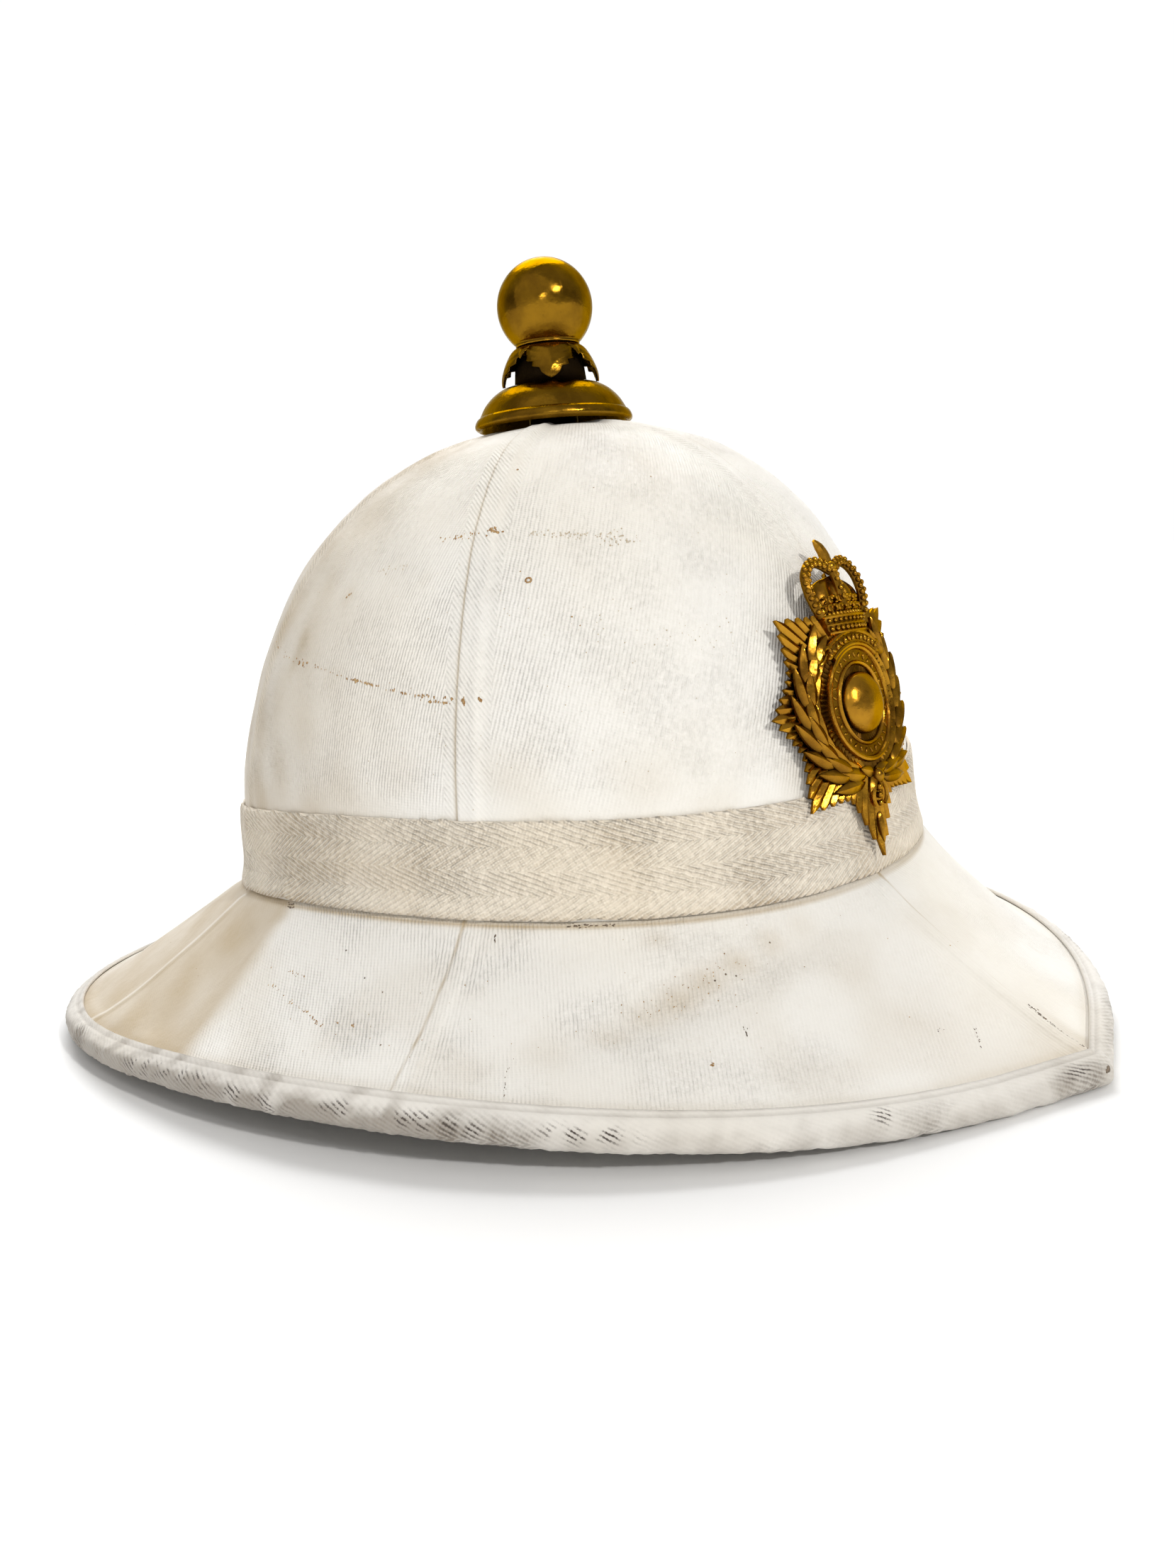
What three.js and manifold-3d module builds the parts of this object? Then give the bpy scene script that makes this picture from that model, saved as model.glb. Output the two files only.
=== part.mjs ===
// A white cork sun helmet: a domed crown and a flared brim of cork under sewn cloth panels,
// a herringbone band, a bound edge, a brass ball on a leaf collar at the top and a star badge.
// Millimetres, +Z up. The front faces -Y, the wearer's right is -X, and the brim rests on Z = 0.

import * as THREE from 'three';
import { mergeVertices } from 'three/addons/utils/BufferGeometryUtils.js';
import Module from 'manifold-3d';

const wasm = await Module();
wasm.setup();

// Crown, measured on its cloth
const crownHalfLength = 118;
const crownHalfWidth = 105;
const crownSquareness = 2.1;
const crownTop = 192.5;
const crownLeanForward = 10.3;
const crownLeanRight = 1.5;
const domeRise = 2.23;
const domeRound = 2.34;
const corkWall = 5.5;

// Foot of the crown, where the brim starts: its height and how it waves round the head
const rootHeight = 53.7;
const rootPitch = 2.1;
const rootWave = 4.4;
const rootSideHeight = 4.5;
const footFlareWidth = 2;
const footFlareHeight = 12;

// Brim: how far it stands out from the crown, and its edge
const sideBrim = 46.5;
const frontBrim = 52.6;
const rearBrim = 77.4;
const tipReach = 16.8;
const tipSpread = 11.5 * Math.PI / 180;
const brimCentreBack = 14.8;
const frontSquareness = 2.12;
const rearSquareness = 2.4;
const flareReach = 0.48;
const edgeSlope = 26 * Math.PI / 180;
const edgeRound = 1.2;
const sideLift = 10.2;
const settledDepth = 0.6;
const liftSkew = 24 * Math.PI / 180;

// Cloth: lapped seams between the panels, the band and the tape that binds the edge
const seamAngles = [0, 61, 120, 180, 240, 299].map((degrees) => degrees * Math.PI / 180);
const seamWidth = 6;
const seamRise = 0.9;
const seamShoulder = 0.6;
const seamTurnLimit = 15 * Math.PI / 180;
const brimSeamShare = 0.7;
const bandHeight = 27.2;
const bandThickness = 1.2;
const tapeThickness = 1.2;
const tapeReach = 5.5;

// Brass top piece
const topBaseRadius = 26;
const topBaseHeight = 13.4;
const topBaseLip = 2.4;
const topBaseShift = 1.8;
const brassWall = 1.2;
const stemRadius = 8;
const collarFootRadius = 16;
const collarNeckRadius = 10.5;
const collarHeight = 11.8;
const leafCount = 4;
const ballRadius = 15.6;
const ballSeatHeight = 0.4;
const ballSeatRadius = 10;

// Badge, a struck plate with a boss set on it
const badgeCentreHeight = 100.9;
const badgeStandOff = 1.8;
const badgeLean = 9 * Math.PI / 180;
const badgeSideCurve = 110;
const badgeBendStart = 20;
const badgeBendCurve = 60;
const badgeThickness = 1;
const badgeRoot = 0.4;
const starRadius = 38.4;
const starSideReach = 34.5;
const starFootReach = 44.5;
const starInnerShare = 0.7;
const starPoints = 8;
const raysPerPoint = 6;
const rayRelief = 1.3;
const ringRadius = 15.5;
const ringWidth = 5.6;
const ringRelief = 3.6;
const bossRadius = 9;
const bossRise = 4.6;
const starPointBulge = 0.8;
const rayNotch = 0.93;
const rayShoulder = 0.35;
const starEdgeShare = 0.6;
const wreathRadius = 21.5;
const wreathStart = 18 * Math.PI / 180;
const wreathEnd = 150 * Math.PI / 180;
const leafLength = 9.5;
const leafWidth = 3.6;
const leavesPerSide = 6;
const leafSplay = 22 * Math.PI / 180;
const leafStep = 0.6;
const leafRelief = 3.4;
const leafEdgeShare = 0.4;
const ridgeStart = 0.2;
const ridgeShare = 0.6;
const badgeCrownHalfWidth = 13.5;
const badgeCrownFoot = 20;
const badgeCrownTop = 41;
const badgeFinialTop = 47;
const crownRelief = 2.6;
const crownRimWidth = 20.3;
const crownRimHeight = 4.4;
const crownRimRise = 2.8;
const crownRimRelief = 3.6;
const finialOverlap = 5;
const finialWidth = 4.6;
const badgePostRadius = 1.6;
const badgePostSpacing = 30;
const postStep = 0.05;
const postLimit = 20;

// Clearances between pieces that touch
const jointGap = 0.3;
const seatGap = 0.35;

// Fineness
const tiny = 1e-6;
const panelSteps = 6;
const bandRings = [0, 0.22, 0.6, 1];
const domeRings = [0.16, 0.32, 0.48, 0.63, 0.76, 0.87, 0.94, 0.985];
const liningRings = [0, 0.3, 0.55, 0.76, 0.92];
const flareSteps = [0, 0.25, 0.5, 0.75];
const turnSteps = 32;
const ballSteps = 14;
const bossSteps = 6;
const bossSides = 24;
const archSteps = 6;
const postSides = 10;

// Tables of shares: sections as [out, up] and flat outlines as [across, up]
const baseOutside = [[0.5, 1], [0.73, 0.77], [0.91, 0.42], [0.965, 0.18]];
const lipShares = [0.7, 0.3];
const baseInside = [[0.93, 0.09], [0.88, 0.33], [0.71, 0.68], [0.5, 0.91]];
const collarSteps = [0, 0.25, 0.5, 0.75, 1];
const collarFlare = 0.6;
const leafGapShares = [
  [0.97, -0.1], [0.6, 0.28], [0.49, 0.25], [0.29, 0.6], [0.18, 0.56], [0, 0.8],
];
const leafOutline = [[0, 0], [0.8, 0.3], [1, 0.55], [0, 1], [-1, 0.55], [-0.8, 0.3]];
const crownOutline = [[0.68, 0], [0.78, 0.26], [1.25, 0.55], [0.95, 1.07], [0, 0.88]];
const crownOpening = [[0.12, 0.5], [0.3, 0.57], [0.62, 0.48], [0.82, 0.88], [0.12, 0.71]];
const ringProfile = [[0, 0.9], [0.14, 1], [0.28, 0.75], [0.75, 0.75], [0.88, 1], [1, 0.8]];

const cloth = { color: 0xe9e5dc, roughness: 0.85, metalness: 0 };
const tape = { color: 0xe2d6c3, roughness: 0.9, metalness: 0 };
const brass = { color: 0xa8791f, roughness: 0.3, metalness: 1 };

// Solids from rings of points

function closedBody(rings, joinEnds) {
  const positions = [];
  const quad = (a, b, c, d) => {
    positions.push(...a.toArray(), ...b.toArray(), ...c.toArray());
    positions.push(...a.toArray(), ...c.toArray(), ...d.toArray());
  };
  const last = joinEnds ? rings.length : rings.length - 1;
  for (let i = 0; i < last; i += 1) {
    const here = rings[i];
    const next = rings[(i + 1) % rings.length];
    for (let j = 0; j < here.length; j += 1) {
      const k = (j + 1) % here.length;
      quad(here[j], here[k], next[k], next[j]);
    }
  }
  return weld(positions);
}

function weld(positions) {
  const raw = new THREE.BufferGeometry();
  raw.setAttribute('position', new THREE.Float32BufferAttribute(positions, 3));
  const merged = mergeVertices(raw, 1e-4);
  const index = [...merged.index.array];
  const kept = [];
  for (let i = 0; i < index.length; i += 3) {
    const [a, b, c] = index.slice(i, i + 3);
    if (a !== b && b !== c && c !== a) kept.push(a, b, c);
  }
  if (signedVolume(merged.attributes.position, kept) < 0) kept.reverse();
  merged.setIndex(kept);
  return merged;
}

function signedVolume(position, index) {
  const corners = [new THREE.Vector3(), new THREE.Vector3(), new THREE.Vector3()];
  let volume = 0;
  for (let i = 0; i < index.length; i += 3) {
    corners.forEach((corner, n) => corner.fromBufferAttribute(position, index[i + n]));
    volume += corners[0].dot(corners[1].clone().cross(corners[2])) / 6;
  }
  return volume;
}

function toManifold(geometry) {
  const bare = new THREE.BufferGeometry();
  bare.setAttribute('position', geometry.getAttribute('position'));
  if (geometry.index) bare.setIndex(geometry.index);
  const merged = mergeVertices(bare, 1e-4);
  return new wasm.Manifold(new wasm.Mesh({
    numProp: 3,
    vertProperties: new Float32Array(merged.attributes.position.array),
    triVerts: new Uint32Array(merged.index.array),
  }));
}

function fromManifold(solid) {
  const mesh = solid.getMesh();
  const geometry = new THREE.BufferGeometry();
  geometry.setAttribute('position', new THREE.BufferAttribute(new Float32Array(mesh.vertProperties), 3));
  geometry.setIndex(new THREE.BufferAttribute(new Uint32Array(mesh.triVerts), 1));
  return geometry;
}

function joined(geometries) {
  const solids = geometries.map(toManifold);
  return fromManifold(solids.reduce((whole, solid) => whole.add(solid)));
}

// Turns a profile of [radius, height] pairs about the Z axis
function turned(profile, steps = turnSteps) {
  const points = profile.map(([radius, height]) => new THREE.Vector2(radius, height));
  const geometry = new THREE.LatheGeometry(points, steps);
  geometry.rotateX(Math.PI / 2);
  return weld([...geometry.toNonIndexed().attributes.position.array]);
}

function named(name, geometry, look) {
  const faceted = geometry.index ? geometry.toNonIndexed() : geometry;
  faceted.computeVertexNormals();
  const mesh = new THREE.Mesh(faceted, new THREE.MeshStandardMaterial(look));
  mesh.name = name;
  return mesh;
}

// The crown's surface

function superRadius(angle, halfWidth, halfLength, squareness) {
  const across = Math.abs(Math.sin(angle)) / halfWidth;
  const along = Math.abs(Math.cos(angle)) / halfLength;
  return (across ** squareness + along ** squareness) ** (-1 / squareness);
}

function footHeight(angle) {
  return rootHeight + rootPitch * Math.cos(angle) - rootWave * Math.cos(2 * angle)
    - rootSideHeight * Math.sin(angle);
}

function domeTaper(share) {
  return Math.max(0, 1 - Math.max(0, share) ** domeRise) ** (1 / domeRound);
}

// The cloth turns outwards a little where the crown runs into the brim
function flareAtFoot(angle, height) {
  const drop = 1 - (height - footHeight(angle)) / footFlareHeight;
  return footFlareWidth * Math.max(0, drop) ** 2;
}

// Point at an angle from the front towards the wearer's right, at a height, inset from the cloth
function crownPoint(angle, height, inset) {
  const share = (height - rootHeight) / (crownTop - inset - rootHeight);
  const plan = superRadius(angle, crownHalfWidth - inset, crownHalfLength - inset, crownSquareness);
  const radius = domeTaper(share) * plan + (inset > 0 ? 0 : flareAtFoot(angle, height));
  const lean = share * Math.abs(share);
  return new THREE.Vector3(
    -radius * Math.sin(angle) - crownLeanRight * lean,
    -radius * Math.cos(angle) - crownLeanForward * lean,
    height,
  );
}

// Angles round a ring of some radius: each seam keeps its width, and the panels share the rest
function columnsAt(radiusAt) {
  const columns = [];
  const footOver = 1 + 2 * seamShoulder / seamWidth;
  const halfTurn = (seam) => Math.min(seamWidth / 2 / radiusAt(seam), seamTurnLimit);
  seamAngles.forEach((seam, n) => {
    const next = n + 1 < seamAngles.length ? seamAngles[n + 1] : seamAngles[0] + 2 * Math.PI;
    const top = halfTurn(seam);
    const foot = top * footOver;
    const nextFoot = halfTurn(next) * footOver;
    columns.push({ angle: seam - foot, raised: 0 }, { angle: seam - top, raised: 1 });
    columns.push({ angle: seam + top, raised: 1 }, { angle: seam + foot, raised: 0 });
    for (let i = 1; i < panelSteps; i += 1) {
      const angle = THREE.MathUtils.lerp(seam + foot, next - nextFoot, i / panelSteps);
      columns.push({ angle, raised: 0 });
    }
  });
  return columns;
}

function crownRing(heightAt, inset, relief) {
  const radiusAt = (angle) => {
    const share = (heightAt(angle) - rootHeight) / (crownTop - inset - rootHeight);
    const plan = superRadius(angle, crownHalfWidth, crownHalfLength, crownSquareness);
    return Math.max(1, domeTaper(share) * plan);
  };
  return columnsAt(radiusAt).map(({ angle, raised }) => (
    crownPoint(angle, heightAt(angle), inset - raised * relief)
  ));
}

function crownPole(inset, count) {
  const pole = crownPoint(0, crownTop - inset, inset);
  return Array.from({ length: count }, () => pole.clone());
}

const crownFoot = (angle) => footHeight(angle) + jointGap / 2;

function crownShell() {
  const bandTop = (angle) => crownFoot(angle) + bandHeight;
  const outer = bandRings.map((share) => (
    crownRing((angle) => crownFoot(angle) + share * bandHeight, 0, seamRise)
  ));
  domeRings.forEach((share) => {
    const heightAt = (angle) => THREE.MathUtils.lerp(bandTop(angle), crownTop, share);
    outer.push(crownRing(heightAt, 0, seamRise));
  });
  const inner = liningRings.map((share) => (
    crownRing((angle) => THREE.MathUtils.lerp(crownFoot(angle), crownTop - corkWall, share), corkWall, 0)
  ));
  const count = outer[0].length;
  const rings = [crownPole(corkWall, count), ...inner.reverse(), ...outer, crownPole(0, count)];
  return closedBody(rings, false);
}

function hatBand() {
  const lift = (share) => (angle) => crownFoot(angle) + jointGap + share * (bandHeight - jointGap);
  const inner = bandRings.map((share) => crownRing(lift(share), -jointGap, seamRise));
  const outer = bandRings.map((share) => crownRing(lift(share), -jointGap - bandThickness, seamRise));
  return closedBody([...inner, ...outer.reverse()], true);
}

// The brim: each column is a section from the crown's foot out to the edge

function edgeReach(angle) {
  const front = Math.cos(angle) > 0;
  const halfLength = crownHalfLength + (front ? frontBrim + brimCentreBack : rearBrim - brimCentreBack);
  const squareness = front ? frontSquareness : rearSquareness;
  const fromFront = Math.abs(Math.atan2(Math.sin(angle), Math.cos(angle)));
  return superRadius(angle, crownHalfWidth + sideBrim, halfLength, squareness)
    + tipReach * Math.exp(-fromFront / tipSpread);
}

function edgePoint(angle) {
  const reach = edgeReach(angle);
  return new THREE.Vector3(-reach * Math.sin(angle), brimCentreBack - reach * Math.cos(angle), 0);
}

// Height of the bound edge above the floor: it rests at the front and rear and lifts at the sides
function edgeLift(angle) {
  const turn = angle + liftSkew * Math.sin(angle);
  return Math.max(0, sideLift * Math.sin(turn) ** 2 - settledDepth);
}

// Share along the flare's curve where it has gone this share of the way out
function flareShare(outward) {
  const bend = 1 - 2 * flareReach;
  return (Math.sqrt(flareReach ** 2 + bend * outward) - flareReach) / bend;
}

// Brim's section at one column, as [distance out from the crown's cloth, height] pairs
function brimSection(rootZ, width, lift) {
  const underside = lift + tapeThickness + jointGap;
  const end = [width - edgeRound, underside + corkWall * Math.cos(edgeSlope)];
  const knee = [flareReach * end[0], end[1] + (1 - flareReach) * end[0] * Math.tan(edgeSlope)];
  const shares = [...flareSteps, flareShare(1 - (tapeReach - edgeRound) / end[0]), 1];
  const upper = [];
  const lower = [];
  shares.forEach((u) => {
    const out = 2 * u * (1 - u) * knee[0] + u * u * end[0];
    const up = (1 - u) ** 2 * rootZ + 2 * u * (1 - u) * knee[1] + u * u * end[1];
    const slope = [
      2 * (1 - u) * knee[0] + 2 * u * (end[0] - knee[0]),
      2 * (1 - u) * (knee[1] - rootZ) + 2 * u * (end[1] - knee[1]),
    ];
    const size = Math.hypot(...slope);
    upper.push([out, up]);
    lower.push([out + corkWall * slope[1] / size, up - corkWall * slope[0] / size]);
  });
  const edge = [
    [width, end[1] - edgeRound],
    [width, underside + edgeRound],
    [width - edgeRound, underside],
  ];
  return { upper, edge, lower: lower.reverse() };
}

function brimColumns() {
  const radiusAt = (angle) => superRadius(angle, crownHalfWidth, crownHalfLength, crownSquareness);
  const roots = columnsAt(radiusAt);
  const edges = columnsAt(edgeReach);
  return roots.map((column, n) => {
    const rootZ = footHeight(column.angle) - jointGap / 2;
    const root = crownPoint(column.angle, rootZ, 0);
    const edge = edgePoint(edges[n].angle);
    const out = new THREE.Vector3(edge.x - root.x, edge.y - root.y, 0);
    const width = out.length();
    out.normalize();
    const section = brimSection(rootZ, width, edgeLift(edges[n].angle));
    const place = ([distance, height]) => root.clone().addScaledVector(out, distance).setZ(height);
    return { section, place, raised: column.raised, angle: column.angle };
  });
}

function ringsFromColumns(loops) {
  return loops[0].map((_, i) => loops.map((loop) => loop[i]));
}

function brimShell() {
  const loops = brimColumns().map(({ section, place, raised, angle }) => {
    const seamed = section.upper.map(([out, up], i) => {
      const open = i > 0 && i < section.upper.length - 2;
      return [out, up + (open ? raised * seamRise * brimSeamShare : 0)];
    });
    const innerTop = crownPoint(angle, section.upper[0][1], corkWall);
    const innerLow = innerTop.clone();
    innerLow.z -= corkWall / 2;
    return [
      innerTop,
      ...seamed.map(place),
      ...section.edge.map(place),
      ...section.lower.map(place),
      innerLow,
    ];
  });
  return closedBody(ringsFromColumns(loops), true);
}

// Moves an open path of [out, up] points outwards by a distance, with mitred corners
function offsetPath(path, distance) {
  const normal = (a, b) => {
    const size = Math.hypot(b[0] - a[0], b[1] - a[1]);
    return [-(b[1] - a[1]) / size, (b[0] - a[0]) / size];
  };
  return path.map((point, i) => {
    const before = normal(path[Math.max(0, i - 1)], path[Math.max(1, i)]);
    const after = normal(path[Math.min(i, path.length - 2)], path[Math.min(i + 1, path.length - 1)]);
    const mitre = 1 + before[0] * after[0] + before[1] * after[1];
    return [
      point[0] + distance * (before[0] + after[0]) / mitre,
      point[1] + distance * (before[1] + after[1]) / mitre,
    ];
  });
}

function edgeBinding() {
  const loops = brimColumns().map(({ section, place }) => {
    const path = [...section.upper.slice(-2), ...section.edge, ...section.lower.slice(0, 2)];
    const inner = offsetPath(path, jointGap);
    const outer = offsetPath(path, jointGap + tapeThickness);
    return [...outer, ...inner.reverse()].map(place);
  });
  return closedBody(ringsFromColumns(loops), true);
}

// The brass top piece stands on the crown's top, each piece on the one below

function topBase() {
  const profile = [
    [0, topBaseHeight],
    ...baseOutside.map(([out, up]) => [out * topBaseRadius, up * topBaseHeight]),
    ...lipShares.map((up) => [topBaseRadius, up * topBaseLip]),
    [topBaseRadius - brassWall, 0],
    ...baseInside.map(([out, up]) => [out * topBaseRadius, up * topBaseHeight]),
    [stemRadius, topBaseHeight - brassWall],
    [stemRadius, 0],
    [0, 0],
  ];
  return turned(profile);
}

function collarStem() {
  return turned([[0, 0], [stemRadius, 0], [stemRadius, collarHeight], [0, collarHeight]]);
}

function leafCollar() {
  const bell = (fall) => collarNeckRadius + (collarFootRadius - collarNeckRadius) * fall ** collarFlare;
  const outside = collarSteps.map((fall) => [bell(fall), collarHeight * (1 - fall)]);
  const inside = collarSteps.slice(1).map((fall) => [bell(fall) - brassWall, collarHeight * (1 - fall)]);
  const eye = stemRadius + jointGap;
  const neckInside = [collarNeckRadius - brassWall, collarHeight - brassWall];
  const profile = [
    [eye, collarHeight],
    ...outside,
    ...inside.reverse(),
    neckInside,
    [eye, collarHeight - brassWall],
    [eye, collarHeight],
  ];
  const halfTurn = Math.PI / leafCount;
  const halfGap = collarFootRadius * Math.sin(halfTurn);
  let collar = toManifold(turned(profile));
  for (let n = 0; n < leafCount; n += 1) {
    const outline = [...leafGapShares, ...leafGapShares.slice(0, -1).reverse().map(([u, v]) => [-u, v])];
    const arch = new THREE.Shape(outline.map(([u, v]) => (
      new THREE.Vector2(u * halfGap, v * collarHeight)
    )));
    const cutter = new THREE.ExtrudeGeometry(arch, { depth: collarFootRadius * 2, bevelEnabled: false });
    cutter.rotateX(Math.PI / 2);
    cutter.rotateZ(n * 2 * halfTurn);
    collar = collar.subtract(toManifold(cutter));
  }
  return fromManifold(collar);
}

// Depth of the ball's flat seat under its centre
const ballSeatDrop = Math.sqrt(ballRadius ** 2 - ballSeatRadius ** 2);

function topBall() {
  const start = Math.acos(-ballSeatDrop / ballRadius);
  const foot = -ballSeatDrop - ballSeatHeight;
  const profile = [[0, foot], [ballSeatRadius, foot]];
  for (let i = 0; i < ballSteps; i += 1) {
    const turn = start * (1 - i / ballSteps);
    profile.push([ballRadius * Math.sin(turn), ballRadius * Math.cos(turn)]);
  }
  profile.push([0, ballRadius]);
  return turned(profile);
}

// The badge is drawn flat, u to the wearer's left, v up and w outwards, then bent to the crown

function starPlate() {
  const rays = starPoints * raysPerPoint;
  const pointTurn = 2 * Math.PI / starPoints;
  const ring = (radiusAt, depthAt) => Array.from({ length: 2 * rays }, (_, i) => {
    const turn = i * Math.PI / rays;
    const ridge = i % 2 === 0;
    const radius = radiusAt(turn, ridge);
    return new THREE.Vector3(radius * Math.sin(turn), radius * Math.cos(turn), depthAt(ridge));
  });
  const reach = (turn, ridge) => {
    const point = Math.round(turn / pointTurn) * pointTurn;
    const off = Math.abs(turn - point) / (pointTurn / 2);
    const sideways = Math.abs(Math.cos(point)) < tiny;
    const downwards = Math.cos(point) < tiny - 1;
    const tip = (downwards && starFootReach) || (sideways && starSideReach) || starRadius;
    const inward = THREE.MathUtils.lerp(tip, starRadius * starInnerShare, off ** starPointBulge);
    return inward * (ridge ? 1 : rayNotch);
  };
  const field = wreathRadius + leafWidth;
  const shoulder = (turn, ridge) => THREE.MathUtils.lerp(reach(turn, ridge), field, rayShoulder);
  return closedBody([
    ring(() => 0, () => 0),
    ring(reach, () => 0),
    ring(reach, () => badgeThickness * starEdgeShare),
    ring(shoulder, (ridge) => badgeThickness + (ridge ? rayRelief : 0)),
    ring(() => field, () => badgeThickness),
    ring(() => 0, () => badgeThickness),
  ], false);
}

function ringWithBand() {
  const inner = ringRadius - ringWidth;
  const front = ringProfile.map(([inwards, up]) => [ringRadius - inwards * ringWidth, up * ringRelief]);
  return turned([[inner, badgeRoot], [ringRadius, badgeRoot], ...front, [inner, badgeRoot]]);
}

// A leaf along +Y from the origin, with a ridge
function leaf(length, width, height) {
  const ringAt = (spread, rise) => leafOutline.map(([across, along]) => new THREE.Vector3(
    across * spread * width / 2,
    length * THREE.MathUtils.lerp(0.5, along, spread),
    rise,
  ));
  const ridge = leafOutline.map(([, along]) => (
    new THREE.Vector3(0, length * (ridgeStart + ridgeShare * along), height)
  ));
  return closedBody([ringAt(0, 0), ringAt(1, 0), ringAt(1, height * leafEdgeShare), ridge], false);
}

function wreathLeaves() {
  const leaves = [];
  for (const side of [-1, 1]) {
    for (let n = 0; n < leavesPerSide; n += 1) {
      const turn = THREE.MathUtils.lerp(wreathStart, wreathEnd, n / (leavesPerSide - 1));
      for (const splay of [-1, 1]) {
        const piece = leaf(leafLength, leafWidth, leafRelief);
        const radius = wreathRadius + splay * leafStep;
        piece.rotateZ(side * (turn - Math.PI / 2 + splay * leafSplay));
        piece.translate(side * radius * Math.sin(turn), -radius * Math.cos(turn), badgeRoot);
        leaves.push(piece);
      }
    }
  }
  return leaves;
}

// A pierced crown with two arches, a rim and a leaf on top
function badgeCrown() {
  const rise = badgeCrownTop - badgeCrownFoot;
  const toPlate = ([u, v]) => [u * badgeCrownHalfWidth, badgeCrownFoot + v * rise];
  const [foot, rimEdge, lowBulge, highBulge, dip] = crownOutline.map(toPlate);
  const shape = new THREE.Shape();
  shape.moveTo(-foot[0], foot[1]);
  shape.lineTo(...foot);
  shape.lineTo(...rimEdge);
  shape.bezierCurveTo(...lowBulge, ...highBulge, ...dip);
  shape.bezierCurveTo(-highBulge[0], highBulge[1], -lowBulge[0], lowBulge[1], -rimEdge[0], rimEdge[1]);
  for (const side of [-1, 1]) {
    const [start, under, corner, over, end] = crownOpening.map(([u, v]) => toPlate([side * u, v]));
    const hole = new THREE.Path();
    hole.moveTo(...start);
    hole.quadraticCurveTo(...under, ...corner);
    hole.quadraticCurveTo(...over, ...end);
    shape.holes.push(hole);
  }
  const arches = new THREE.ExtrudeGeometry(shape, {
    depth: crownRelief,
    bevelEnabled: false,
    curveSegments: archSteps,
  });
  arches.translate(0, 0, badgeRoot / 2);
  const rim = new THREE.BoxGeometry(crownRimWidth, crownRimHeight, crownRimRelief);
  rim.translate(0, badgeCrownFoot + crownRimRise, badgeRoot + crownRimRelief / 2);
  const finial = leaf(badgeFinialTop - badgeCrownTop + finialOverlap, finialWidth, crownRimRelief);
  finial.translate(0, badgeCrownTop - finialOverlap, badgeRoot);
  return [arches, rim, finial];
}

function badgePosts() {
  return [-1, 1].map((side) => {
    const across = side * badgePostSpacing / 2;
    const length = postLength(across) + badgeRoot;
    const post = new THREE.CylinderGeometry(badgePostRadius, badgePostRadius, length, postSides);
    post.rotateX(Math.PI / 2);
    post.translate(0, across, badgeRoot - length / 2);
    return post;
  });
}

// Spine of the badge: straight at its lean, then bent back towards the crown above the bend's start
function badgeSpine(v) {
  const straight = Math.min(v, badgeBendStart);
  const bend = Math.max(0, v - badgeBendStart) / badgeBendCurve;
  const tilt = badgeLean + bend;
  return {
    tilt,
    back: straight * Math.sin(badgeLean) + badgeBendCurve * (Math.cos(badgeLean) - Math.cos(tilt)),
    up: straight * Math.cos(badgeLean) + badgeBendCurve * (Math.sin(tilt) - Math.sin(badgeLean)),
  };
}

function badgePlace(u, v, w) {
  const { tilt, back, up } = badgeSpine(v);
  const turn = u / badgeSideCurve;
  const depth = (badgeSideCurve + w) * Math.cos(turn) - badgeSideCurve;
  const seat = crownPoint(0, badgeCentreHeight, -badgeStandOff);
  return new THREE.Vector3(
    (badgeSideCurve + w) * Math.sin(turn),
    seat.y + back - depth * Math.cos(tilt),
    badgeCentreHeight + up + depth * Math.sin(tilt),
  );
}

// Length of a straight post from the plate's back to the crown's cloth at height v on the badge
function postLength(v) {
  let length = 0;
  const clear = (reach) => {
    const end = badgePlace(0, v, -reach);
    return crownPoint(0, end.z, -seamRise - seatGap).y - end.y > 0;
  };
  while (clear(length + postStep) && length < postLimit) length += postStep;
  return length;
}

function bentToCrown(geometry) {
  const position = geometry.getAttribute('position');
  for (let i = 0; i < position.count; i += 1) {
    const point = badgePlace(position.getX(i), position.getY(i), position.getZ(i));
    position.setXYZ(i, point.x, point.y, point.z);
  }
  return geometry;
}

function badgePlate() {
  const relief = [ringWithBand(), ...wreathLeaves(), ...badgeCrown()];
  return bentToCrown(joined([starPlate(), ...relief, ...badgePosts()]));
}

function badgeBoss() {
  const foot = badgeThickness + rayRelief + jointGap;
  const radius = Math.min(bossRadius, ringRadius - ringWidth - jointGap);
  const profile = [[0, foot], [radius, foot]];
  for (let i = 1; i < bossSteps; i += 1) {
    const turn = i / bossSteps * Math.PI / 2;
    profile.push([radius * Math.cos(turn), foot + bossRise * Math.sin(turn)]);
  }
  profile.push([0, foot + bossRise]);
  return bentToCrown(turned(profile, bossSides));
}

// The helmet, with its brim's outline centred on the origin

const helmet = new THREE.Group();
const binding = named('brim_binding', edgeBinding(), tape);
helmet.add(named('crown', crownShell(), cloth));
helmet.add(named('brim', brimShell(), cloth));
helmet.add(binding);
helmet.add(named('hat_band', hatBand(), tape));

const topPiece = new THREE.Group();
const pole = crownPoint(0, crownTop, 0);
topPiece.position.set(pole.x, pole.y + topBaseShift, crownTop + seatGap);
const collarLevel = topBaseHeight + jointGap;
const ballLevel = collarLevel + collarHeight + jointGap + ballSeatHeight + ballSeatDrop;
const stack = [
  ['top_base', topBase(), 0],
  ['collar_stem', collarStem(), collarLevel],
  ['leaf_collar', leafCollar(), collarLevel],
  ['top_ball', topBall(), ballLevel],
];
stack.forEach(([name, geometry, height]) => {
  const piece = named(name, geometry, brass);
  piece.position.z = height;
  topPiece.add(piece);
});
helmet.add(topPiece);
helmet.add(named('badge_plate', badgePlate(), brass));
helmet.add(named('badge_boss', badgeBoss(), brass));

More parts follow.
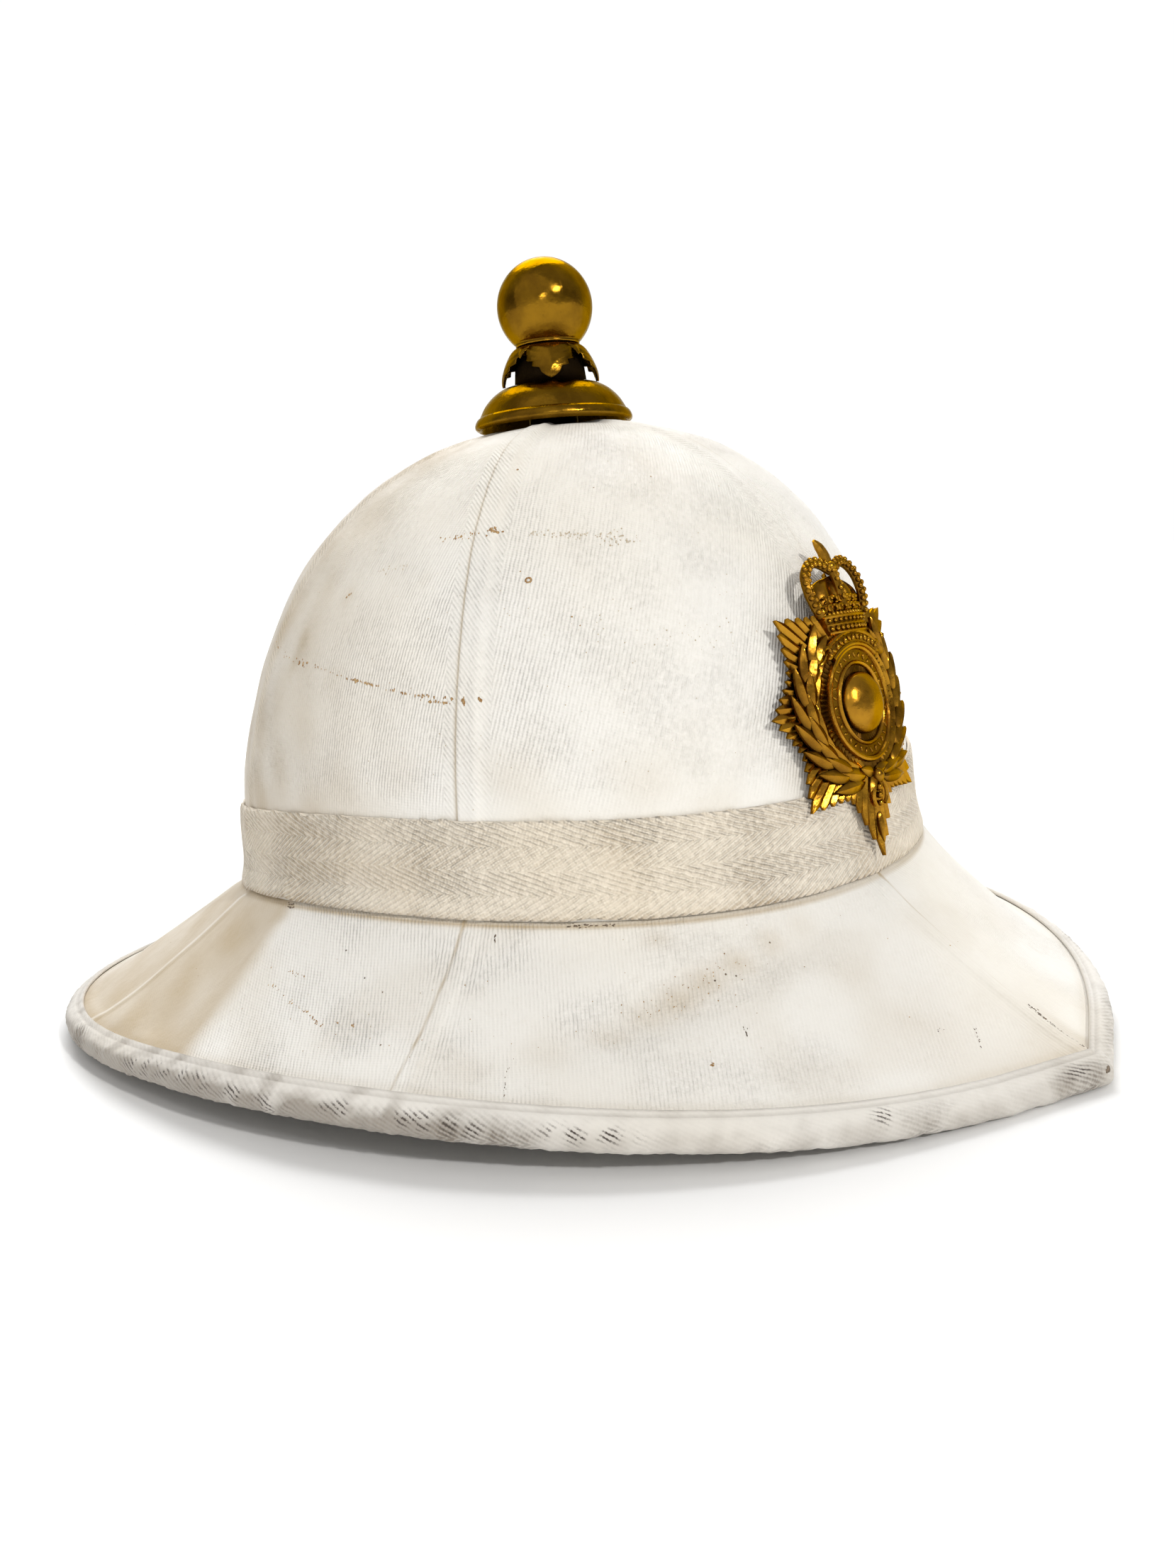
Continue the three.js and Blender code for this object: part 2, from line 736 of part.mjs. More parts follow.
const outline = new THREE.Box3().setFromObject(binding);
const middle = outline.getCenter(new THREE.Vector3());
helmet.position.set(-middle.x, -middle.y, 0);
helmet.updateMatrixWorld(true);

export default helmet;
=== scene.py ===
"""Looks of a white cork sun helmet with a brass ball on a leaf collar and a brass star badge.

Shapes are worked out in millimetres about the crown's axis, and placed in the row frame in metres.
Angles run from the front towards the wearer's right: the front faces -Y and the right is -X.
"""

import bpy
import numpy as np
from mathutils import Matrix, Vector
from mathutils.bvhtree import BVHTree


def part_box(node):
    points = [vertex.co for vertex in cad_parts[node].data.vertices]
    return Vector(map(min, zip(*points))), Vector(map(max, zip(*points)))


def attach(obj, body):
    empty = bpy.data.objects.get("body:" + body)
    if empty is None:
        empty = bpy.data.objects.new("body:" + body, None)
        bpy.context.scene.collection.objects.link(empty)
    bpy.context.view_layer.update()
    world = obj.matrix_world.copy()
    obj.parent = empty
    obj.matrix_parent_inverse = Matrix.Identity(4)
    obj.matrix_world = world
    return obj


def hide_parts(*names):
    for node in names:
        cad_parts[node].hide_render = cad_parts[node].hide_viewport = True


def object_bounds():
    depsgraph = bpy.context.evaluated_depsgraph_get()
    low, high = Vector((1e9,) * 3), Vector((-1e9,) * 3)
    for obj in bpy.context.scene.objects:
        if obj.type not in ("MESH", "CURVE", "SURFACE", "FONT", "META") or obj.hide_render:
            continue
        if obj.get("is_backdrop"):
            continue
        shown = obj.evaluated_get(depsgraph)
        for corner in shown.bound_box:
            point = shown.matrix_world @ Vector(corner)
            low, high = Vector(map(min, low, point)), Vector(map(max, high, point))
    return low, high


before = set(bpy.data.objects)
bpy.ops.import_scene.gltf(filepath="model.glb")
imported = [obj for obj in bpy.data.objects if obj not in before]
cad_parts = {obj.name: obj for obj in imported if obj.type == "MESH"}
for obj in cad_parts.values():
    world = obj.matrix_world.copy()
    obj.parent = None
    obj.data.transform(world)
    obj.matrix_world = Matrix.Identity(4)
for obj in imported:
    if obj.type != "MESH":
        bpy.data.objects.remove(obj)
cad_bounds = [list(corner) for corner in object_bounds()]

# Crown, as in the part's source
HALF_LENGTH = 118
HALF_WIDTH = 105
SQUARENESS = 2.1
CROWN_TOP = 192.5
LEAN_FORWARD = 10.3
LEAN_RIGHT = 1.5
DOME_RISE = 2.23
DOME_ROUND = 2.34
WALL = 5.5
ROOT_HEIGHT = 53.7
ROOT_PITCH = 2.1
ROOT_WAVE = 4.4
ROOT_TILT = 4.5
FOOT_FLARE = 2
FOOT_FLARE_HEIGHT = 12

# Brim
SIDE_BRIM = 46.5
FRONT_BRIM = 52.6
REAR_BRIM = 77.4
TIP_REACH = 16.8
TIP_SPREAD = np.radians(11.5)
BRIM_BACK = 14.8
FRONT_SQUARENESS = 2.12
REAR_SQUARENESS = 2.4
FLARE_REACH = 0.48
EDGE_SLOPE = np.radians(26)
EDGE_ROUND = 1.2
SIDE_LIFT = 10.2
SETTLED = 0.6
LIFT_SKEW = np.radians(24)

# Cloth
SEAMS = np.radians([0, 61, 120, 180, 240, 299])
NEXT_SEAMS = np.append(SEAMS[1:], SEAMS[0] + 2 * np.pi)
SEAM_RISE = 0.9
TURN_LIMIT = np.radians(15)
BAND_HEIGHT = 27.2
TAPE = 1.2
TAPE_REACH = 5.5
GAP = 0.3
RIB_PITCH = 1.08
BAND_PITCH = 1.35
EDGE_PITCH = 1.3

# Brass top
BASE_HEIGHT = 13.4
BASE_SHIFT = 1.8
SEAT_GAP = 0.35
STEM_RADIUS = 8
COLLAR_FOOT = 16
COLLAR_NECK = 10.5
COLLAR_HEIGHT = 11.8
BALL_RADIUS = 15.6
BALL_SEAT_RADIUS = 10
BALL_SEAT_HEIGHT = 0.4

# Badge
BADGE_HEIGHT = 100.9
BADGE_STAND_OFF = 1.8
BADGE_LEAN = np.radians(9)
BADGE_SIDE_CURVE = 110
BEND_START = 20
BEND_CURVE = 60
STAR_RADIUS = 38.4
STAR_SIDE_REACH = 34.5
STAR_FOOT_REACH = 44.5
STAR_INNER = 0.755
STAR_POINTS = 8
RAYS_PER_POINT = 9
RING_RADIUS = 15.5
RING_WIDTH = 5.6
RING_STRETCH = 1.1
BOSS_RADIUS = 9
BOSS_FOOT = 2.6
BOSS_RISE = 4.6
CROWN_FOOT = 20
CROWN_RISE = 21

base_low, base_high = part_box("top_base")
AXIS = np.array([
    (base_low.x + base_high.x) * 500 + LEAN_RIGHT,
    (base_low.y + base_high.y) * 500 + LEAN_FORWARD - BASE_SHIFT,
    0.0,
])


# Meshes


def new_object(name, data):
    thing = bpy.data.objects.new(name, data)
    bpy.context.scene.collection.objects.link(thing)
    return thing


def link_piece(name, mesh, material, node):
    """Puts a finished mesh into the scene as a smooth piece that rides on the one body."""
    mesh.polygons.foreach_set("use_smooth", np.ones(len(mesh.polygons), bool))
    mesh.update()
    piece = new_object(name, mesh)
    mesh.materials.append(material)
    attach(piece, "root")
    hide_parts(node)
    return piece


def new_piece(name, points, faces, material, node, uvs=None, values=None):
    """Makes a piece of points in millimetres about the crown's axis, with values at its points."""
    mesh = bpy.data.meshes.new(name)
    mesh.from_pydata(((points + AXIS) / 1000).tolist(), [], faces.tolist())
    if uvs is not None:
        layer = mesh.uv_layers.new(name="cloth_mm")
        layer.data.foreach_set("uv", uvs.reshape(-1).astype(np.float32))
    for key, value in (values or {}).items():
        attribute = mesh.attributes.new(key, "FLOAT", "POINT")
        attribute.data.foreach_set("value", np.asarray(value, np.float32).reshape(-1))
    return link_piece(name, mesh, material, node)


def circle(steps):
    """Evenly spaced angles of a full turn."""
    return np.arange(steps) / steps * 2 * np.pi


def grid_faces(rows, columns, close_rows=False, close_columns=True):
    """Quads of a grid of points, numbered along the rows."""
    r = np.arange(rows if close_rows else rows - 1)
    c = np.arange(columns if close_columns else columns - 1)
    r, c = np.meshgrid(r, c, indexing="ij")
    r, c = r.ravel(), c.ravel()
    r2, c2 = (r + 1) % rows, (c + 1) % columns
    return np.stack([r * columns + c, r * columns + c2, r2 * columns + c2, r2 * columns + c], 1)


def outward(points, faces):
    """The quads, turned round if the closed body they make is inside out."""
    a, b, c, d = (points[faces[:, corner]] for corner in range(4))
    volume = np.einsum("ij,ij->i", a, np.cross(b, c)).sum()
    volume += np.einsum("ij,ij->i", a, np.cross(c, d)).sum()
    return faces if volume > 0 else faces[:, ::-1]


def outward_with_uvs(points, quads, uvs):
    """The faces turned outwards, and their corner values in the same order."""
    faces = outward(points, quads)
    return faces, uvs if faces is quads else uvs[:, :, ::-1]


def slab_faces(rows, width):
    """Faces of a closed body between two open grids of points, numbered one after the other."""
    front = grid_faces(rows, width, close_columns=False)
    size = rows * width
    ring = np.concatenate([
        np.arange(width),
        np.arange(1, rows) * width + width - 1,
        (rows - 1) * width + np.arange(width - 2, -1, -1),
        np.arange(rows - 2, 0, -1) * width,
    ])
    after = np.roll(ring, -1)
    side = np.stack([ring, ring + size, after + size, after], 1)
    return np.concatenate([front, front[:, ::-1] + size, side])


def revolved(profile, steps):
    """A profile of (radius, height) turned about an upright line, as a grid of points."""
    profile = np.asarray(profile, float)
    turn = circle(steps)
    return np.stack([
        profile[:, :1] * np.cos(turn),
        profile[:, :1] * np.sin(turn),
        profile[:, 1:] + 0 * turn,
    ], -1)


def normals_of(grid):
    """Unit normals of a grid of points that closes round, outwards where its rows run upwards."""
    along = np.roll(grid, -1, 1) - np.roll(grid, 1, 1)
    up = np.gradient(grid, axis=0)
    normal = np.cross(up, along)
    size = np.linalg.norm(normal, axis=2, keepdims=True)
    return normal / np.maximum(size, 1e-9)


def ripple(points, wavelength, seed, count=14):
    """Smooth noise about 0, of size about 1: waves of one length in many directions."""
    rng = np.random.default_rng(seed)
    direction = rng.normal(size=(count, 3))
    direction /= np.linalg.norm(direction, axis=1, keepdims=True)
    length = wavelength * rng.uniform(0.7, 1.4, count)
    phase = rng.uniform(0, 2 * np.pi, count)
    total = np.zeros(points.shape[:-1])
    for way, wave, start in zip(direction, length, phase):
        total += np.cos(points @ way * (2 * np.pi / wave) + start)
    return total * np.sqrt(2 / count)


def smooth_step(x, low, high):
    t = np.clip((x - low) / (high - low), 0, 1)
    return t * t * (3 - 2 * t)


def bump_at(x, centre, width):
    return np.exp(-((x - centre) / width) ** 2)


def curve_through(points, steps):
    """A smooth open curve through points, with this many steps in each span."""
    points = np.asarray(points, float)
    padded = np.vstack([2 * points[0] - points[1], points, 2 * points[-1] - points[-2]])
    out = []
    for i in range(len(points) - 1):
        a, b, c, d = padded[i : i + 4]
        for t in np.arange(steps) / steps:
            out.append(0.5 * (2 * b + (c - a) * t + (2 * a - 5 * b + 4 * c - d) * t**2
                              + (3 * b - a - 3 * c + d) * t**3))
    return np.array(out + [points[-1]])


# Surfaces


def super_radius(angle, half_width, half_length, squareness):
    across = np.abs(np.sin(angle)) / half_width
    along = np.abs(np.cos(angle)) / half_length
    return (across**squareness + along**squareness) ** (-1 / squareness)


def foot_height(angle):
    return (ROOT_HEIGHT + ROOT_PITCH * np.cos(angle) - ROOT_WAVE * np.cos(2 * angle)
            - ROOT_TILT * np.sin(angle))


def dome_taper(share):
    return np.maximum(0, 1 - np.maximum(0, share) ** DOME_RISE) ** (1 / DOME_ROUND)


def crown_point(angle, height, inset=0.0):
    share = (height - ROOT_HEIGHT) / (CROWN_TOP - inset - ROOT_HEIGHT)
    plan = super_radius(angle, HALF_WIDTH - inset, HALF_LENGTH - inset, SQUARENESS)
    drop = 1 - (height - foot_height(angle)) / FOOT_FLARE_HEIGHT
    flare = FOOT_FLARE * np.maximum(0, drop) ** 2 if inset <= 0 else 0
    radius = dome_taper(share) * plan + flare
    lean = share * np.abs(share)
    x = -radius * np.sin(angle) - LEAN_RIGHT * lean
    y = -radius * np.cos(angle) - LEAN_FORWARD * lean
    return np.stack([x, y, height + 0 * radius], -1)


def edge_reach(angle):
    front = np.cos(angle) > 0
    half_length = HALF_LENGTH + np.where(front, FRONT_BRIM + BRIM_BACK, REAR_BRIM - BRIM_BACK)
    squareness = np.where(front, FRONT_SQUARENESS, REAR_SQUARENESS)
    from_front = np.abs(np.arctan2(np.sin(angle), np.cos(angle)))
    tip = TIP_REACH * np.exp(-from_front / TIP_SPREAD)
    return super_radius(angle, HALF_WIDTH + SIDE_BRIM, half_length, squareness) + tip


def edge_lift(angle):
    turn = angle + LIFT_SKEW * np.sin(angle)
    return np.maximum(0, SIDE_LIFT * np.sin(turn) ** 2 - SETTLED)


PANEL_STEPS = 46
STRIP_STEPS = 22
SECTION_STEPS = STRIP_STEPS + PANEL_STEPS
STRIP_REACH = 7.0


def seam_columns(radius_at):
    """Angles of each row's columns: a strip of fixed width at each seam, and a panel after it."""
    angles = []
    for seam, following in zip(SEAMS, NEXT_SEAMS):
        half = np.minimum(STRIP_REACH / radius_at(seam), TURN_LIMIT)
        next_half = np.minimum(STRIP_REACH / radius_at(following), TURN_LIMIT)
        for place in np.linspace(-1, 1, STRIP_STEPS + 1)[:-1]:
            angles.append(seam + place * half)
        for place in np.linspace(0, 1, PANEL_STEPS + 1)[:-1]:
            angles.append(seam + half + place * (following - next_half - seam - half))
    return np.stack(angles, -1)


def section_uvs(points, sections):
    """Corner values for a grid whose columns fall into sections, each with values of its own."""
    rows, columns = points.shape[:2]
    table = np.zeros((rows - 1, columns, 4, 2))
    for first, values in sections:
        count = values.shape[1] - 1
        c = (first + np.arange(count)) % columns
        table[:, c, 0] = values[:-1, :-1]
        table[:, c, 1] = values[:-1, 1:]
        table[:, c, 2] = values[1:, 1:]
        table[:, c, 3] = values[1:, :-1]
    return table.reshape(-1, 4, 2)


def sloped(across, along, tilt):
    """Cloth coordinates whose first axis runs across the ribs, which lean by tilt."""
    c, s = np.cos(tilt), np.sin(tilt)
    return np.stack([across * c + along * s, along * c - across * s], -1)


# Materials


def node_tree(name):
    material = bpy.data.materials.new(name)
    material.use_nodes = True
    tree = material.node_tree
    tree.nodes.clear()
    output = tree.nodes.new("ShaderNodeOutputMaterial")
    shader = tree.nodes.new("ShaderNodeBsdfPrincipled")
    tree.links.new(shader.outputs[0], output.inputs[0])
    return material, tree, shader


def math(tree, operation, a, b=0.0, clamp=False):
    node = tree.nodes.new("ShaderNodeMath")
    node.operation = operation
    node.use_clamp = clamp
    for socket, value in zip(node.inputs, (a, b)):
        if isinstance(value, (int, float)):
            socket.default_value = value
        else:
            tree.links.new(value, socket)
    return node.outputs[0]


def plus(tree, a, b, clamp=False):
    return math(tree, "ADD", a, b, clamp)


def times(tree, a, b, clamp=False):
    return math(tree, "MULTIPLY", a, b, clamp)


def noise(tree, vector, scale, detail=3.0, roughness=0.5):
    node = tree.nodes.new("ShaderNodeTexNoise")
    node.inputs["Scale"].default_value = scale
    node.inputs["Detail"].default_value = detail
    node.inputs["Roughness"].default_value = roughness
    tree.links.new(vector, node.inputs["Vector"])
    return node.outputs[0]


def mapped(tree, value, low, high, to_low=0.0, to_high=1.0):
    node = tree.nodes.new("ShaderNodeMapRange")
    node.interpolation_type = "SMOOTHSTEP"
    node.inputs[1].default_value = low
    node.inputs[2].default_value = high
    node.inputs[3].default_value = to_low
    node.inputs[4].default_value = to_high
    tree.links.new(value, node.inputs[0])
    return node.outputs[0]


def blend_colour(tree, share, a, b):
    node = tree.nodes.new("ShaderNodeMix")
    node.data_type = "RGBA"
    tree.links.new(share, node.inputs[0])
    for socket, value in ((node.inputs[6], a), (node.inputs[7], b)):
        if isinstance(value, tuple):
            socket.default_value = (*value, 1)
        else:
            tree.links.new(value, socket)
    return node.outputs[2]


def attribute(tree, name):
    node = tree.nodes.new("ShaderNodeAttribute")
    node.attribute_name = name
    return node.outputs["Fac"]


def object_place(tree):
    return tree.nodes.new("ShaderNodeTexCoord").outputs["Object"]


def bump(tree, height, distance, normal=None, strength=1.0):
    node = tree.nodes.new("ShaderNodeBump")
    node.inputs["Strength"].default_value = strength
    node.inputs["Distance"].default_value = distance
    tree.links.new(height, node.inputs["Height"])
    if normal is not None:
        tree.links.new(normal, node.inputs["Normal"])
    return node.outputs[0]


BARE_THREADS = (0.07, 0.055, 0.045)
BRASS_EDGE_TINT = (0.62, 0.52, 0.32, 1.0)


def cloth_material(name, colour, soil_and_shade_colour, pitch, depth, fill, groove, roughness):
    """Ribbed cloth under old paint: ribs the paint fills in places, soiling, painted shade and small
    lumps.
    """
    material, tree, shader = node_tree(name)
    uv = tree.nodes.new("ShaderNodeUVMap")
    uv.uv_map = "cloth_mm"
    cloth = uv.outputs[0]
    axes = tree.nodes.new("ShaderNodeSeparateXYZ")
    tree.links.new(cloth, axes.inputs[0])
    place = object_place(tree)
    wander = times(tree, noise(tree, cloth, 0.35, 2), 3.2)
    phase = plus(tree, times(tree, axes.outputs[0], 2 * np.pi / pitch), wander)
    rib = plus(tree, times(tree, math(tree, "SINE", phase), 0.5), 0.5)
    cross_thread = math(tree, "SINE", times(tree, axes.outputs[1], 2 * np.pi / (pitch * 0.7)))
    rib = plus(tree, rib, times(tree, cross_thread, 0.12))
    patches = mapped(tree, noise(tree, place, 60, 3), 0.5 - fill, 0.66, 0.55, 1.0)
    worn = mapped(tree, noise(tree, cloth, 0.55, 3), 0.3, 0.7, 0.45, 1.0)
    amount = times(tree, times(tree, patches, worn), attribute(tree, "rib"))
    normal = bump(tree, noise(tree, place, 75, 3), 0.0004)
    normal = bump(tree, noise(tree, place, 420, 4, 0.6), 0.00022, normal)
    normal = bump(tree, times(tree, rib, amount), depth, normal)
    tree.links.new(normal, shader.inputs["Normal"])

    # The attribute read here carries soiling and painted shade alike; both blend towards the one
    # darker colour.
    soil_and_shade = attribute(tree, "soil_and_shade")
    blotch = mapped(tree, noise(tree, place, 26, 5, 0.6), 0.42, 0.72)
    fine = mapped(tree, noise(tree, place, 260, 4, 0.65), 0.5, 0.75)
    soiled_and_shaded = plus(tree, times(tree, soil_and_shade, 0.75), times(tree, blotch, 0.045))
    soiled_and_shaded = plus(tree, soiled_and_shaded, times(tree, fine, 0.045), clamp=True)
    # The rib valleys are darkened: painted shade in every valley, plus more soiling there where the
    # attribute is high; groove sets how dark.
    valley = times(tree, math(tree, "SUBTRACT", 1.0, rib), amount)
    valley_shade_and_soil = times(tree, plus(tree, times(tree, soil_and_shade, 2.2), 0.5), groove)
    soiled_and_shaded = plus(tree, soiled_and_shaded, times(tree, valley, valley_shade_and_soil), clamp=True)
    yellowed = tuple(c * k for c, k in zip(colour, (1.0, 0.985, 0.955)))
    tint = blend_colour(tree, mapped(tree, noise(tree, place, 11, 2), 0.4, 0.65), colour, yellowed)
    base = blend_colour(tree, soiled_and_shaded, tint, soil_and_shade_colour)
    gaps = mapped(tree, noise(tree, cloth, 0.55, 4, 0.7), 0.37, 0.52)
    bare = times(tree, attribute(tree, "bare"), mapped(tree, rib, 0.45, 0.15))
    bare = times(tree, bare, gaps, clamp=True)
    tree.links.new(blend_colour(tree, bare, base, BARE_THREADS), shader.inputs["Base Color"])
    rough = mapped(tree, noise(tree, place, 160, 3), 0.3, 0.7, roughness - 0.08, roughness + 0.1)
    tree.links.new(rough, shader.inputs["Roughness"])
    shader.inputs["Specular IOR Level"].default_value = 0.35
    shader.inputs["Sheen Weight"].default_value = 0.12
    shader.inputs["Sheen Roughness"].default_value = 0.6
    return material


def metal_material(name, bright, dull, dark, roughness, scratch):
    """Old polished brass: cloudy tarnish, dark recesses, fine scratches and a few pits. The recess
    value also carries painted shade on the collar's inner leaf faces and the post.
    """
    material, tree, shader = node_tree(name)
    place = object_place(tree)
    clouds = mapped(tree, noise(tree, place, 85, 5, 0.6), 0.35, 0.7)
    spots = mapped(tree, noise(tree, place, 900, 3, 0.6), 0.62, 0.74)
    colour = blend_colour(tree, clouds, bright, dull)
    deep = times(tree, attribute(tree, "recess"), 0.9)
    deep = plus(tree, deep, times(tree, spots, 0.22), clamp=True)
    colour = blend_colour(tree, deep, colour, dark)
    tree.links.new(colour, shader.inputs["Base Color"])
    shader.inputs["Metallic"].default_value = 1.0
    shader.inputs["Specular Tint"].default_value = BRASS_EDGE_TINT
    rough = mapped(tree, noise(tree, place, 210, 4), 0.3, 0.75, roughness - 0.05, roughness + 0.14)
    rough = plus(tree, rough, times(tree, deep, 0.22), clamp=True)
    tree.links.new(rough, shader.inputs["Roughness"])
    normal = bump(tree, noise(tree, place, 130, 3), 0.0009, strength=0.5)
    normal = bump(tree, noise(tree, place, 1500, 4, 0.7), scratch, normal)
    tree.links.new(normal, shader.inputs["Normal"])
    return material


def mark_material(name, colour, other, roughness=0.8):
    material, tree, shader = node_tree(name)
    place = object_place(tree)
    share = mapped(tree, noise(tree, place, 700, 3), 0.35, 0.65)
    tree.links.new(blend_colour(tree, share, colour, other), shader.inputs["Base Color"])
    rough = mapped(tree, noise(tree, place, 300, 2), 0.3, 0.7, roughness - 0.1, roughness + 0.1)
    tree.links.new(rough, shader.inputs["Roughness"])
    tree.links.new(bump(tree, noise(tree, place, 1400, 2), 0.0001), shader.inputs["Normal"])
    return material


white_cloth = cloth_material("white_cloth", (0.785, 0.765, 0.722), (0.45, 0.355, 0.225),
                             RIB_PITCH, depth=0.00033, fill=0.14, groove=0.07, roughness=0.6)
band_cloth = cloth_material("band_cloth", (0.80, 0.732, 0.622), (0.44, 0.325, 0.19),
                            BAND_PITCH, depth=0.00100, fill=0.4, groove=0.75, roughness=0.76)
edge_cloth = cloth_material("edge_cloth", (0.74, 0.71, 0.66), (0.235, 0.20, 0.16),
                            EDGE_PITCH, depth=0.00045, fill=0.05, groove=0.25, roughness=0.62)
brass = metal_material("brass", (0.255, 0.130, 0.009), (0.145, 0.070, 0.006), (0.02, 0.010, 0.003),
                       roughness=0.14, scratch=0.00003)
# Near-black brass for the post inside the leaf collar: painted shade inside the collar.
shadow_dark_brass = metal_material("shadow_dark_brass", (0.05, 0.03, 0.012), (0.03, 0.018, 0.008),
                            (0.01, 0.006, 0.003), roughness=0.45, scratch=0.00005)
gilt = metal_material("gilt", (0.47, 0.232, 0.020), (0.27, 0.120, 0.012), (0.035, 0.015, 0.004),
                      roughness=0.16, scratch=0.00003)
rust = mark_material("rust_marks", (0.27, 0.135, 0.04), (0.50, 0.33, 0.15))
faded = mark_material("faded_marks", (0.50, 0.40, 0.27), (0.62, 0.54, 0.42))
# Dark marks: bare threads, cracks and spots, and also painted shadow under the band.
thread = mark_material("bare_threads_and_shadows", (0.11, 0.08, 0.055), (0.24, 0.18, 0.125))


# Crown

LAP_EDGE = -3.3
FAR = 99.0


def seam_profile(offset):
    """Height of a lapped seam: a sharp edge towards the rear and a soft ridge towards the front."""
    step = smooth_step(offset, LAP_EDGE, -2.85)
    ridge = 0.72 + 0.28 * bump_at(offset, 2.2, 1.3)
    fall = 1 - smooth_step(offset, 2.5, 5.6)
    return step * ridge * fall


def seam_side(seam):
    """-1 for the seams on the wearer's right and at the rear, 1 for the others."""
    return -1 if 0 < seam <= np.pi else 1


def seam_offsets(angles, radius):
    """Distance in millimetres from the nearest seam, positive towards the front on both sides."""
    best = np.full(angles.shape, FAR)
    for seam in SEAMS:
        turn = np.arctan2(np.sin(angles - seam), np.cos(angles - seam))
        distance = turn * radius * seam_side(seam)
        best = np.where(np.abs(distance) < np.abs(best), distance, best)
    return best


def section_columns(n, total):
    """Columns of a strip and the panel after it, each up to what follows, and turns to add there."""
    first = n * SECTION_STEPS
    strip = np.arange(first, first + STRIP_STEPS + 1)
    panel = np.arange(first + STRIP_STEPS, first + SECTION_STEPS + 1)
    return strip % total, panel % total, np.where(panel >= total, 2 * np.pi, 0)


def panel_sections(angles, radius, along):
    """Cloth coordinates of each strip and panel, flattened about its own middle."""
    sections = []
    for n, (seam, following) in enumerate(zip(SEAMS, NEXT_SEAMS)):
        strip, panel, wrap = section_columns(n, angles.shape[1])
        across = (angles[:, strip] - seam) * radius[:, strip]
        sections.append((strip[0], sloped(across, along[:, strip], STRIP_TILT)))
        across = (angles[:, panel] + wrap - (seam + following) / 2) * radius[:, panel]
        sections.append((panel[0], sloped(across, along[:, panel], CROWN_TILTS[n])))
    return sections


def soil_and_shade_of_crown(points, angles, height):
    """Beige soiling: more at the rear of the side, round the top and just over the band; at the rear
    of the side it is also painted shade.
    """
    rough = 0.5 + 0.5 * ripple(points, 22, 11)
    degrees = np.degrees(angles)
    rear = smooth_step(degrees, 66, 116) * (1 - smooth_step(degrees, 122, 175))
    top = smooth_step(height, 150, 190)
    low = bump_at(height, 86, 15)
    # At the rear of the side this is beige soiling and painted shade of that side together.
    soil_and_shade = 0.02 + 0.70 * rear * (0.80 + 0.20 * rough)
    soil_and_shade = soil_and_shade + 0.24 * top * (0.5 + 0.5 * rough) + 0.17 * low * rough
    for angle, level, width, amount in CROWN_STAINS:
        spot = ((angles - np.radians(angle)) * 100 / width) ** 2 + ((height - level) / width) ** 2
        soil_and_shade = soil_and_shade + amount * np.exp(-spot) * (0.6 + 0.4 * rough)
    return np.clip(soil_and_shade, 0, 1)


CROWN_STAINS = [
    # angle, height, size and strength of each soft stain
    (104, 130, 3.5, 0.45), (105, 124, 3, 0.4), (92, 143, 2.5, 0.35), (112, 158, 5, 0.35),
    (72, 145.5, 2.5, 0.22), (116, 134, 6, 0.25), (101, 146, 5, 0.12), (24, 172, 7, 0.14),
    (17, 168, 6, 0.10), (90, 120, 4, 0.12), (44, 154, 9, 0.07), (60, 170, 12, 0.06),
]
CROWN_TILTS = np.radians([18, 4, -12, 12, -4, -18])
STRIP_TILT = np.radians(-38)


